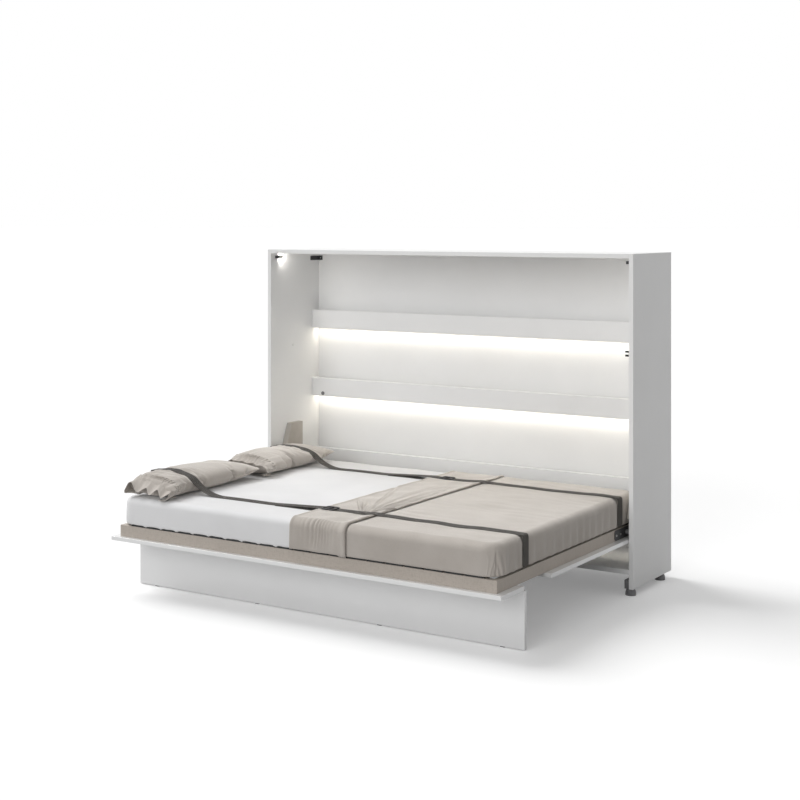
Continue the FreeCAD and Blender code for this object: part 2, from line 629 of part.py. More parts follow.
angles = []
angle_z = f"({door_in} + (Sizes.rail_height - Sizes.angle_height) / 2)"
for side, sign in SIDES:
    for end, way in (("front", 1), ("rear", -1)):
        name = f"angle_{side}_{end}"
        x_low = f"({rail_inner} - Sizes.angle_leg)" if sign > 0 else f"(0 - {rail_inner})"
        x_thin = f"({rail_inner} - Sizes.angle_thick)" if sign > 0 else f"(0 - {rail_inner})"
        rail_face = side_front if way > 0 else f"({frame_rear} - Sizes.rail_thick)"
        y_low = rail_face if way > 0 else f"({rail_face} - Sizes.angle_leg)"
        y_thin = rail_face if way > 0 else f"({rail_face} - Sizes.angle_thick)"
        along = block(f"{name}_along", (x_low, y_thin, angle_z), ("Sizes.angle_leg", "Sizes.angle_thick",
                                                                  "Sizes.angle_height"))
        across = block(f"{name}_across", (x_thin, y_low, angle_z), ("Sizes.angle_thick", "Sizes.angle_leg",
                                                                    "Sizes.angle_height"))
        angles.append(fuse(name, [along, across]))
group("corner_angles", angles)

# ---------------------------------------- sprung slats in their holders
slat_start = f"({side_front} + Sizes.holder_setback)"
slat_length = f"({frame_rear} - {frame_front} - 2 * Sizes.rail_thick - 2 * Sizes.holder_setback)"
holder_top = f"({bed_top} - Sizes.free_gap)"
holder_low = f"({slat_under} - Sizes.holder_floor)"
slat_top = f"({slat_under} + Sizes.slat_thick)"
cap_depth = f"(Sizes.rail_thick - Sizes.holder_setback)"
slat_pitch = f"((2 * ({rail_inner} - Sizes.slat_end_gap)) / (Sizes.slat_count - 1))"
slats = []
holders = []
for count in range(int(size("slat_count"))):
    centre = f"(({count} - (Sizes.slat_count - 1) / 2) * {slat_pitch})"
    slats.append(block(f"slat_{count}", (f"({centre} - Sizes.slat_width / 2)", slat_start, slat_under),
                       ("Sizes.slat_width", slat_length, "Sizes.slat_thick")))
    left = f"({centre} - Sizes.holder_width / 2)"
    for end, way in (("front", 1), ("rear", -1)):
        name = f"holder_{end}_{count}"
        face = side_front if way > 0 else f"({frame_rear} - Sizes.rail_thick - Sizes.holder_reach)"
        hood = face if way < 0 else f"({side_front} - {cap_depth})"
        upper = block(f"{name}_hood", (left, hood, slat_top),
                      ("Sizes.holder_width", f"(Sizes.holder_reach + {cap_depth})", "Sizes.holder_cover"))
        lower = block(f"{name}_shoe", (left, face, holder_low),
                      ("Sizes.holder_width", "Sizes.holder_reach", "Sizes.holder_floor"))
        stop = face if way > 0 else f"({frame_rear} - Sizes.rail_thick - Sizes.holder_setback)"
        end_wall = block(f"{name}_stop", (left, stop, holder_low),
                         ("Sizes.holder_width", "Sizes.holder_setback", f"({holder_top} - {holder_low})"))
        holders.append(fuse(name, [upper, lower, end_wall]))
group("slats", slats)
group("slat_holders", holders)

# ---------------------------------------- lift mechanism, one set on each side
pivot = ("Sizes.pivot_y", "Sizes.pivot_z")
anchor_y = named("pivot_y + anchor_back")
anchor_z = named("pivot_z + anchor_rise")
stud_y = named("pivot_y + stud_back")
plate_outline = [
    (named("pivot_y - plate_corner"), named("pivot_z - plate_corner")),
    (named("pivot_y + plate_rear"), named("pivot_z - plate_corner")),
    (named("pivot_y + plate_rear"), named("pivot_z + plate_rise")),
    (named("pivot_y + plate_front_top"), named("pivot_z + plate_rise")),
    (named("pivot_y - plate_corner"), named("pivot_z + plate_corner")),
]
bushes = []
pins = []
anchors = []
plate_screws = []
arm_screws = []
for side, sign in SIDES:
    def across(low, high):
        """The lower end of a span along X that runs from low to high on the right, mirrored on the left."""
        return low if sign > 0 else f"(0 - {high})"

    def far(distance):
        """A place along X on this side."""
        return f"({sign} * {distance})"

    inwards = (-sign, 0, 0)
    outwards = (sign, 0, 0)
    plate = outline(f"plate_{side}", plate_outline, "Sizes.plate_thick",
                    (across(plate_face, inner), "0", "0"), [((0,), "Sizes.plate_corner - Sizes.running")])
    pin_hole = rod(f"plate_{side}_pivot", (far(f"({plate_face} - 1)"), *pivot),
                   "Sizes.pin_radius + Sizes.running", "Sizes.plate_thick + 2", outwards)
    finish(cut(f"mechanism_plate_{side}", plate, [pin_hole]), f"mechanism_plate_{side}")

    # The cover is a tray over the gas spring, open towards the board and below, its front leaning back.
    cover_low = named("pivot_z + cover_rise")
    cover_in = f"({plate_face} - Sizes.cover_depth)"
    slope = named("(plate_front_top + plate_corner) / (plate_rise - plate_corner)")
    front_low = f"(Sizes.pivot_y - Sizes.plate_corner + {slope} * (Sizes.cover_rise - Sizes.plate_corner))"
    front_top = named("pivot_y + plate_front_top")
    back_edge = named("pivot_y + plate_rear")
    top_edge = named("pivot_z + plate_rise")
    ring_outer = [(number(front_low), number(cover_low)), (number(back_edge), number(cover_low)),
                  (number(back_edge), number(top_edge)), (number(front_top), number(top_edge))]
    wall = size("cover_wall")
    lean = size("cover_draft")

    def face_wire(x, grow_front, shrink, drop):
        """The cover's outline at one place along X, drawn in at the front, and by a wall's thickness."""
        (fy, lz), (by, _), (_, tz), (ty, _) = ring_outer
        run = [Vector(x, fy + grow_front + shrink, lz - drop), Vector(x, by - shrink, lz - drop),
               Vector(x, by - shrink, tz - shrink), Vector(x, ty + grow_front + shrink, tz - shrink)]
        return Part.makePolygon(run + run[:1])

    x_wall = sign * number(plate_face)
    x_in = sign * number(cover_in)
    x_floor = sign * (number(cover_in) + wall)
    shell = Part.makeLoft([face_wire(x_wall, 0, 0, 0), face_wire(x_in, lean, 0, 0)], True, True)
    inner_wires = [face_wire(x_wall + sign, 0, wall, wall), face_wire(x_floor, lean, wall, wall)]
    soft(f"mechanism_cover_{side}", shell.cut(Part.makeLoft(inner_wires, True, True)))

    # Hinge arm on the side rail, the pivot pin on it and the bush in which the pin turns.
    arm_low = named("pivot_z - arm_height / 2")
    arm_high = named("pivot_z + arm_height / 2")
    arm_start = named("pivot_y - arm_front")
    arm_stop = named("pivot_y + arm_rear")
    arm = outline(f"arm_{side}",
                  [(arm_start, arm_low), (arm_stop, arm_low), (arm_stop, arm_high), (arm_start, arm_high)],
                  "Sizes.arm_thick", (across(frame_half, arm_face), "0", "0"),
                  [((0, 3), "Sizes.arm_height / 4"), ((1, 2), "Sizes.arm_height / 3")])
    finish(arm, f"hinge_arm_{side}")
    pins.append(rod(f"pin_{side}", (far(arm_face), *pivot), "Sizes.pin_radius",
                    f"({inner} - {arm_face} - Sizes.free_gap)", outwards))
    bush = rod(f"bush_{side}_blank", (far(f"({arm_face} + Sizes.free_gap)"), *pivot), "Sizes.bush_radius",
               f"({plate_face} - {arm_face} - Sizes.free_gap)", outwards)
    bush_bore = rod(f"bush_{side}_bore", (far(arm_face), *pivot), "Sizes.pin_radius + Sizes.running",
                    f"({inner} - {arm_face})", outwards)
    bushes.append(cut(f"bush_{side}", bush, [bush_bore]))
    pins.append(rod(f"stud_{side}", (far(arm_face), stud_y, "Sizes.pivot_z"), "Sizes.stud_radius",
                    "Sizes.strut_gap - Sizes.free_gap", outwards))

    # The anchor carries the gas spring's upper eye between a collar and a head.
    eye_far = f"({strut_near} + Sizes.eye_thick)"
    collar = rod(f"anchor_{side}_collar", (far(f"({eye_far} + Sizes.free_gap)"), anchor_y, anchor_z),
                 "Sizes.anchor_collar", f"({plate_face} - {eye_far} - Sizes.free_gap)", outwards)
    shank = rod(f"anchor_{side}_shank", (far(f"({strut_near} - 1)"), anchor_y, anchor_z), "Sizes.anchor_pin",
                f"({plate_face} - {strut_near} + 1)", outwards)
    head_start = far(f"({strut_near} - Sizes.free_gap - Sizes.anchor_head)")
    head = rod(f"anchor_{side}_head", (head_start, anchor_y, anchor_z), "Sizes.anchor_collar",
               "Sizes.anchor_head", outwards)
    anchors.append(fuse(f"anchor_{side}", [collar, shank, head]))

    bolt_rear = named("pivot_y + plate_rear - plate_bolt_edge")
    plate_bolts = (
        (bolt_rear, named("pivot_z")),
        (bolt_rear, named("pivot_z + plate_rise / 2")),
        (bolt_rear, named("pivot_z + plate_rise - plate_bolt_edge")),
        (named("pivot_y + plate_bolt_back"), named("pivot_z + plate_bolt_rise")),
    )
    for count, (y, z) in enumerate(plate_bolts):
        plate_screws.append(bolt_head(f"plate_screw_{side}_{count}", (far(plate_face), y, z), inwards))
    arm_bolts = (
        named("pivot_y - arm_front + arm_bolt_edge"),
        named("pivot_y - arm_front / 2"),
        named("pivot_y + stud_back / 2"),
    )
    for count, y in enumerate(arm_bolts):
        arm_screws.append(bolt_head(f"arm_screw_{side}_{count}", (far(arm_face), y, "Sizes.pivot_z"),
                                    outwards))
group("pivot_bushes", bushes)
group("arm_pins", pins)
group("spring_anchors", anchors)
group("plate_screws", plate_screws)
group("arm_screws", arm_screws)

# ---------------------------------------- gas springs, drawn along +Z and then tipped
anchor = Vector(0, number(anchor_y) + number(middle_shift), number(anchor_z))
stud = Vector(0, number(stud_y) + number(middle_shift), size("pivot_z"))
strut_length = (stud - anchor).Length
tip = FreeCAD.Rotation(Vector(0, 0, 1), stud - anchor)


def tipped(piece, sign):
    """Lay a gas spring's part, made along +Z from the anchor, on the line from the anchor to the stud."""
    middle = sign * (number(strut_near) + size("eye_thick") / 2)
    piece.Placement = FreeCAD.Placement(Vector(middle, anchor.y, anchor.z), tip).multiply(piece.Placement)
    return piece


def turned(name, radius, start, length):
    """A round length of a gas spring, between two distances from the anchor."""
    piece = doc.addObject("Part::Cylinder", name)
    piece.setExpression("Radius", radius)
    piece.setExpression("Height", length)
    piece.Placement.Base = Vector(0, 0, start)
    return piece


def eye(name, at, radius):
    """A flat round eye across the gas spring."""
    piece = doc.addObject("Part::Cylinder", name)
    piece.setExpression("Radius", radius)
    piece.setExpression("Height", "Sizes.eye_thick")
    base = Vector(-size("eye_thick") / 2, 0, at)
    piece.Placement = FreeCAD.Placement(base, FreeCAD.Rotation(Vector(0, 0, 1), Vector(1, 0, 0)))
    return piece


for side, sign in SIDES:
    name = f"cylinder_{side}"
    tube = turned(f"{name}_tube", "Sizes.cylinder_radius", size("cylinder_start"),
                  "Sizes.cylinder_end - Sizes.cylinder_start")
    upper_eye = eye(f"{name}_eye", 0, "Sizes.eye_radius")
    neck = turned(f"{name}_neck", "Sizes.eye_thick / 2 - 1", 0, "Sizes.cylinder_start + 1")
    solid = fuse(name, [tube, upper_eye, neck])
    chamber_start = size("cylinder_start") + 2 * size("cylinder_wall")
    chamber_length = size("cylinder_end") - size("cylinder_start") - 5 * size("cylinder_wall")
    chamber = turned(f"{name}_chamber", "Sizes.cylinder_radius - Sizes.cylinder_wall", chamber_start,
                     f"{chamber_length}")
    gland = turned(f"{name}_gland", "Sizes.rod_radius + Sizes.running", chamber_start, "Sizes.cylinder_end")
    eye_bore = doc.addObject("Part::Cylinder", f"{name}_eye_bore")
    eye_bore.setExpression("Radius", "Sizes.anchor_pin + Sizes.running")
    eye_bore.setExpression("Height", "Sizes.eye_thick + 2")
    eye_bore.Placement = FreeCAD.Placement(Vector(-size("eye_thick") / 2 - 1, 0, 0),
                                           FreeCAD.Rotation(Vector(0, 0, 1), Vector(1, 0, 0)))
    finish(tipped(cut(name, solid, [chamber, gland, eye_bore]), sign), f"spring_cylinder_{side}")

    name = f"rod_{side}"
    shaft = turned(f"{name}_shaft", "Sizes.rod_radius", size("piston_start"),
                   f"{strut_length - size('piston_start')}")
    piston = turned(f"{name}_piston", "Sizes.cylinder_radius - Sizes.cylinder_wall - Sizes.free_gap",
                    size("piston_start"), "Sizes.piston_length")
    lower_eye = eye(f"{name}_eye", strut_length, "Sizes.eye_radius")
    finish(tipped(fuse(name, [shaft, piston, lower_eye]), sign), f"spring_rod_{side}")
doc.recompute()

# ---------------------------------------- mattress, duvet and its turned-down band
mid_x = size("mattress_shift")
mid_y = number(frame_middle)
low_z = number(bed_top)
high_z = low_z + size("mattress_thick")
half_x = number(frame_half) - size("mattress_end_gap")
half_y = (number(frame_rear) - number(frame_front)) / 2 + size("mattress_over")
gap = size("free_gap")


def bedding_block(grow, low):
    """The mattress's block down to a level, grown on every side."""
    return rounded_block((mid_x - half_x - grow, mid_y - half_y - grow, low),
                         (mid_x + half_x + grow, mid_y + half_y + grow, high_z + grow),
                         size("mattress_corner") + grow, size("mattress_edge") + grow)


soft("mattress", bedding_block(0, low_z))

rear_limit = mid_y + half_y - size("duvet_rear_gap")
duvet_left = mid_x + half_x - size("duvet_length")
band_left = duvet_left - size("band_width")
strap_y_front = mid_y - half_y + size("strap_front")
strap_y_rear = mid_y + half_y - size("strap_rear")


def draped(thick, left, right):
    """A cloth of even thickness over the mattress: its top, its front and, where it reaches, its end."""
    outer = bedding_block(gap + thick, low_z)
    inside = bedding_block(gap, low_z - thick)
    reach = 3 * half_y
    window = Part.makeBox(right - left, reach, high_z, Vector(left, rear_limit - reach, low_z))
    return outer.cut(inside).common(window)


beyond_end = mid_x + half_x + 2 * size("mattress_edge")
soft("duvet", draped(size("duvet_thick"), duvet_left + gap, beyond_end))


# How full a fold is at shares of its length: narrow at the ends.
CREST_SWELLS = ((0, 0.25), (0.3, 0.9), (0.6, 1), (1, 0.3))


def crest(start, stop, width, height, base):
    """A soft fold between two points on the band: an arc over its chord."""
    run = stop - start
    across = Vector(-run.y, run.x, 0).normalize()
    wires = []
    for share, swell in CREST_SWELLS:
        centre = start + run * share + Vector(0, 0, base)
        left, right = centre - across * (width * swell / 2), centre + across * (width * swell / 2)
        over = centre + Vector(0, 0, height * swell)
        wires.append(closed(chords(left, over, right, int(size("fold_points")))))
    return Part.makeLoft(wires, True, True)


band = draped(size("band_thick"), band_left, duvet_left)
band_top = high_z + gap + size("band_thick") - size("fold_root")
spacing = size("band_width") / (size("fold_count") + 1)
fold_rear = strap_y_rear - size("strap_width") - size("fold_rear_gap")
fold_front = strap_y_front + size("strap_width") + size("fold_front_gap")
for count in range(int(size("fold_count"))):
    begin = Vector(duvet_left - size("fold_inset") - count * spacing * size("fold_lean"),
                   fold_rear - count * size("fold_step"), 0)
    stop = Vector(band_left + size("fold_front_inset") + count * spacing,
                  fold_front + (count % 2) * size("fold_stagger"), 0)
    band = band.fuse(crest(begin, stop, size("fold_width"), size("fold_height"), band_top))
soft("duvet_band", band)

# ---------------------------------------- pillows
pillow_x0 = mid_x - half_x + size("pillow_left")
pillow_base = high_z + gap


def swell_at(share):
    """How full the pillow is at a share of its length: flat flanges at the ends and a full middle."""
    inside = (share - size("flange_share")) / (1 - 2 * size("flange_share"))
    return math.sin(math.pi * min(max(inside, 0), 1)) ** size("pillow_plump")


def pillow_shares():
    """Where the pillow's sections lie: close together where its fullness changes fast."""
    flange = size("flange_share")
    steps = int(size("pillow_steps"))
    inside = [flange + (1 - 2 * flange) * (1 - math.cos(math.pi * step / steps)) / 2
              for step in range(steps + 1)]
    return [0] + inside + [1]


def pillow_profile(swell):
    """Heights over the sheet of the side seams and of the crown."""
    flange = size("flange_height")
    seam = flange / 2 + (size("pillow_seam") - flange / 2) * swell
    return seam, flange + (size("pillow_height") - flange) * swell


def pillow(y0, y1):
    """A plump pillow, lofted through sections along its length.

    Each section is a flat foot, two side arcs that swell out to the seam, and a crown arc.
    """
    wires = []
    for share in pillow_shares():
        swell = swell_at(share)
        y = y0 + share * (y1 - y0)
        draw = size("pillow_waist") * (1 - swell)
        left = pillow_x0 + draw
        right = pillow_x0 + size("pillow_width") - draw
        seam_rise, crown_rise = pillow_profile(swell)
        foot = size("flange_height") / 3 + (size("pillow_foot") - size("flange_height") / 3) * swell
        low_right = Vector(right - foot, y, pillow_base)
        low_left = Vector(left + foot, y, pillow_base)
        seam_right = Vector(right, y, pillow_base + seam_rise)
        seam_left = Vector(left, y, pillow_base + seam_rise)
        crown = Vector((left + right) / 2, y, pillow_base + crown_rise)
        under_right = Vector(right - foot / 4, y, pillow_base + seam_rise * size("pillow_bulge"))
        under_left = Vector(left + foot / 4, y, pillow_base + seam_rise * size("pillow_bulge"))
        side_points = int(size("pillow_side_points"))
        outline_points = chords(low_right, under_right, seam_right, side_points)
        outline_points += chords(seam_right, crown, seam_left, int(size("pillow_crown_points")))[1:]
        outline_points += chords(seam_left, under_left, low_left, side_points)[1:]
        wires.append(closed(outline_points))
    return Part.makeLoft(wires, True, True)


pillow_y0 = mid_y - half_y + size("pillow_front")
pillow_y3 = mid_y + half_y - size("pillow_rear")
pillow_y1 = pillow_y0 + (pillow_y3 - pillow_y0 - size("pillow_gap")) * size("pillow_share")
pillow_y2 = pillow_y1 + size("pillow_gap")
soft("pillow_front", pillow(pillow_y0, pillow_y1))
soft("pillow_rear", pillow(pillow_y2, pillow_y3))


# ---------------------------------------- straps and buckles
def ribbon(points, radii, thick, y0, width):
    """A flat band along straight runs joined by tangent arcs, seen from its edge and padded along Y."""
    def turn_arc(before, at, after, radius):
        one = (before - at).normalize()
        two = (after - at).normalize()
        half = one.getAngle(two) / 2
        reach = radius / math.tan(half)
        bisector = (one + two).normalize()
        middle = at + bisector * (radius / math.sin(half) - radius)
        return at + one * reach, middle, at + two * reach

    def side(shift):
        """The band's edge line: every corner moved out by the thickness, its radius changed to suit."""
        moved = []
        for count, point in enumerate(points):
            ways = []
            if count:
                ways.append((point - points[count - 1]).normalize())
            if count < len(points) - 1:
                ways.append((points[count + 1] - point).normalize())
            normals = [Vector(-way.z, 0, way.x) for way in ways]
            total = normals[0] if len(normals) == 1 else normals[0] + normals[1]
            scale = shift / total.normalize().dot(normals[0]) if len(normals) > 1 else shift
            moved.append(point + total * scale)
        edges = []
        last = moved[0]
        for count in range(1, len(moved) - 1):
            turn = (points[count] - points[count - 1]).cross(points[count + 1] - points[count]).y
            radius = radii[count] + (shift if turn > 0 else -shift)
            first, middle, end = turn_arc(moved[count - 1], moved[count], moved[count + 1], radius)
            edges.append(Part.makeLine(last, first))
            edges.append(Part.Arc(first, middle, end).toShape())
            last = end
        edges.append(Part.makeLine(last, moved[-1]))
        return edges, moved[0], moved[-1]

    under, under_start, under_end = side(0)
    over, over_start, over_end = side(thick)
    edges = under + [Part.makeLine(under_end, over_end)] + over + [Part.makeLine(over_start, under_start)]
    wire = Part.Wire(Part.__sortEdges__(edges))
    face = Part.Face(wire)
    face.translate(Vector(0, y0, 0))
    return face.extrude(Vector(0, width, 0))


def strap(y, swell):
    """A strap along the bed: up the left end, over the pillow, along the bedding and down the right end."""
    thick = size("strap_thick")
    left_x = mid_x - half_x - gap
    right_x = mid_x + half_x + size("duvet_thick") + 2 * gap
    sheet_z = high_z + gap
    band_z = high_z + size("band_thick") + 2 * gap
    duvet_z = high_z + size("duvet_thick") + 2 * gap
    bend = size("strap_bend")
    half = size("pillow_width") / 2
    middle = pillow_x0 + half
    seam, crown = pillow_profile(swell)
    rise = crown - seam
    hug = (half * half + rise * rise) / (2 * rise)
    over = hug + size("pillow_play")
    lean = math.asin(size("strap_hug") * half / hug)
    peak = pillow_base + crown - hug + over / math.cos(lean)
    left_z = peak - (middle - left_x) * math.tan(lean)
    landing = middle + (peak - sheet_z) / math.tan(lean)
    start_z = low_z + size("strap_start")
    path = [Vector(left_x, 0, start_z), Vector(left_x, 0, left_z), Vector(middle, 0, peak),
            Vector(landing, 0, sheet_z), Vector(band_left - bend, 0, sheet_z),
            Vector(band_left - bend / 4, 0, band_z),
            Vector(duvet_left + bend / 4, 0, band_z),
            Vector(duvet_left + bend, 0, duvet_z),
            Vector(right_x, 0, duvet_z), Vector(right_x, 0, start_z)]
    radii = [0, bend / 2, over, bend, bend, bend, bend, bend, size("mattress_edge") + size("duvet_thick"), 0]
    return ribbon(path, radii, thick, y - size("strap_width") / 2, size("strap_width"))


def fullest_share(y, y0, y1):
    """The share of a pillow's length, within the strap's width, at which it is fullest."""
    middle = (y0 + y1) / 2
    nearest = min(max(middle, y - size("strap_width") / 2), y + size("strap_width") / 2)
    return (nearest - y0) / (y1 - y0)


front_share = fullest_share(strap_y_front, pillow_y0, pillow_y1)
rear_share = fullest_share(strap_y_rear, pillow_y2, pillow_y3)
buckles = []
for place_name, y, buckle_x, share in (
        ("front", strap_y_front, band_left + size("buckle_front"), front_share),
        ("rear", strap_y_rear, band_left + size("buckle_rear"), rear_share)):
    soft(f"strap_{place_name}", strap(y, swell_at(share)))
    buckle_z = high_z + size("band_thick") + 3 * gap + size("strap_thick")
    low_y = y - size("strap_width") / 2
    rim = size("buckle_rim")
    frame = Part.makeBox(size("buckle_length"), size("strap_width") + 2 * rim, size("buckle_height"),
                         Vector(buckle_x, low_y - rim, buckle_z))
    for slot in (rim, size("buckle_length") / 2 + rim / 2):
        opening = (size("buckle_length") / 2 - 1.5 * rim, size("strap_width"), size("buckle_height") + 2)
        window = Part.makeBox(*opening, Vector(buckle_x + slot, low_y, buckle_z - 1))
        frame = frame.cut(window)
    buckles.append(frame)
soft("strap_buckles", Part.makeCompound(buckles))
doc.recompute()

# ---------------------------------------- checks, then one file for each sub-part
for item in doc.Objects:
    if {"Invalid", "Error"} & set(item.State):
        raise RuntimeError(f"{item.Label} failed: {item.State}")
for piece in nodes:
    if piece.Shape.isNull() or not piece.Shape.isValid() or not piece.Shape.Solids:
        raise RuntimeError(f"{piece.Label} has no sound shape")

os.makedirs("parts", exist_ok=True)
for piece in nodes:
    piece.Shape.exportStep(os.path.join("parts", f"{piece.Label}.step"))
print(len(nodes), "sub-parts written")
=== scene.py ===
"""A horizontal cabinet bed: the looks of every piece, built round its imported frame. Metres, Z up."""
import math

import bmesh
import bpy
import numpy as np
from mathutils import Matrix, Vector
from mathutils.bvhtree import BVHTree


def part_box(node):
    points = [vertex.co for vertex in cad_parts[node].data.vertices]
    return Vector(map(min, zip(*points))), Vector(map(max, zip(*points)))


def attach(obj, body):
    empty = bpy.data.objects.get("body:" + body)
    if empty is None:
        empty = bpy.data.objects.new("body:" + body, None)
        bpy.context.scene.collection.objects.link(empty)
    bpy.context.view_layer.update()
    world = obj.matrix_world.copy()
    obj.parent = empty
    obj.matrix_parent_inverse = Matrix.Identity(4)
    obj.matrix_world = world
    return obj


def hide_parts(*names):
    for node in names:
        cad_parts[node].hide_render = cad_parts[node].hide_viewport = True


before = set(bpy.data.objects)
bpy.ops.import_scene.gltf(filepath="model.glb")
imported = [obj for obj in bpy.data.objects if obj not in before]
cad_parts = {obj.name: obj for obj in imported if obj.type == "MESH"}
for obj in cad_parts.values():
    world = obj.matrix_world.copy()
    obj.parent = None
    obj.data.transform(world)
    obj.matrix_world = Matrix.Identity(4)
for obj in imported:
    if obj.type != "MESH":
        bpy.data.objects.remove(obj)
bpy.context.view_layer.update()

# ---------------- the room
# A pale floor under a white world, with a key light from the left and a low soft light from the front. The
# floor shows white to the lens and to reflections, and throws less light than that on the bed's underside.
WHITE = (1, 1, 1, 1)
ROOM_LIGHT = 0.385
FLOOR_SEEN = (0.86, 0.86, 0.86, 1)
FLOOR_HAZE = 0.195
FLOOR_THROWN = (0.39, 0.39, 0.39, 1)
FLOOR_SPAN = 600
SUNS = {  # strength, where it comes from, spread in degrees
    "daylight": (2.10, (-0.75, 0.12, 0.90), 38),
    "front_light": (1.06, (-0.06, -1.0, 0.32), 40),
}
CAMERA_PLACE = (3.7861, -5.9032, 1.7291)
CAMERA_TURN = 32.48
CAMERA_LENS = 66.14
CAMERA_SENSOR = 36
CAMERA_SHIFT = -0.2231
CAMERA_REACH = 500


def emptied(owner):
    """The node tree of a world or a material, with no nodes in it."""
    owner.use_nodes = True
    owner.node_tree.nodes.clear()
    return owner.node_tree


def add_node(tree, kind, *firsts, settings=(), **named):
    """A new shader node. Its first inputs in order, and others by name, take a value or a node's output."""
    node = tree.nodes.new(f"ShaderNode{kind}")
    for key, value in dict(settings).items():
        setattr(node, key, value)
    by_name = [(node.inputs[key.replace("_", " ")], value) for key, value in named.items()]
    for socket, value in [*zip(node.inputs, firsts), *by_name]:
        if isinstance(value, bpy.types.NodeSocket):
            tree.links.new(value, socket)
        else:
            socket.default_value = value
    return node


def show_by_ray(tree, thrown, seen, end):
    """Mix two shaders by the kind of ray, and end the tree with them.

    The share of the seen one is the highest of three marks, each 0 or 1: a ray from the lens, one off a
    shiny surface and one through a clear one.
    """
    rays = add_node(tree, "LightPath").outputs
    share = rays["Is Camera Ray"]
    for kind in ("Is Glossy Ray", "Is Transmission Ray"):
        share = add_node(tree, "Math", share, rays[kind], settings={"operation": "MAXIMUM"}).outputs[0]
    mixed = add_node(tree, "MixShader", share, thrown.outputs[0], seen.outputs[0])
    add_node(tree, end, mixed.outputs[0])


scene = bpy.context.scene
scene.view_settings.view_transform = "Standard"
scene.world = bpy.data.worlds.new("room")
tree = emptied(scene.world)
show_by_ray(tree, add_node(tree, "Background", WHITE, ROOM_LIGHT), add_node(tree, "Background", WHITE),
            "OutputWorld")

floor_paint = bpy.data.materials.new("floor_paint")
tree = emptied(floor_paint)
hazy = add_node(tree, "AddShader", add_node(tree, "BsdfDiffuse", FLOOR_SEEN).outputs[0],
                add_node(tree, "Emission", Strength=FLOOR_HAZE).outputs[0])
show_by_ray(tree, add_node(tree, "BsdfDiffuse", FLOOR_THROWN), hazy, "OutputMaterial")

bpy.ops.mesh.primitive_plane_add(size=FLOOR_SPAN, location=(0, 0, 0))
floor = bpy.context.object
floor.name = "floor"
floor.data.materials.append(floor_paint)

for name, (strength, source, spread) in SUNS.items():
    sun = bpy.data.lights.new(name, "SUN")
    sun.energy = strength
    sun.angle = math.radians(spread)
    holder = bpy.data.objects.new(name, sun)
    holder.rotation_euler = Vector(source).to_track_quat("Z", "Y").to_euler()
    scene.collection.objects.link(holder)

lens = bpy.data.cameras.new("camera")
lens.lens = CAMERA_LENS
lens.sensor_width = CAMERA_SENSOR
lens.shift_y = CAMERA_SHIFT
lens.clip_end = CAMERA_REACH
camera = bpy.data.objects.new("camera", lens)
camera.location = CAMERA_PLACE
camera.rotation_euler = (math.pi / 2, 0, math.radians(CAMERA_TURN))
scene.collection.objects.link(camera)
scene.camera = camera

# ---------------- cabinet boards
# The cabinet is of laminated board: sides, top, bottom and back, with a lip and a ledge on three levels.
# The laminate is a soft white with a fine orange-peel surface, and painted shade makes its eased edges a little
# darker.
LAMINATE = ((0.855, 0.855, 0.85), (0.89, 0.89, 0.885))
BOARDS = ["side_left", "side_right", "top_board", "bottom_board", "back_panel", "lip_upper", "lip_middle",
          "lip_lower", "shelf_upper", "shelf_middle", "shelf_lower"]


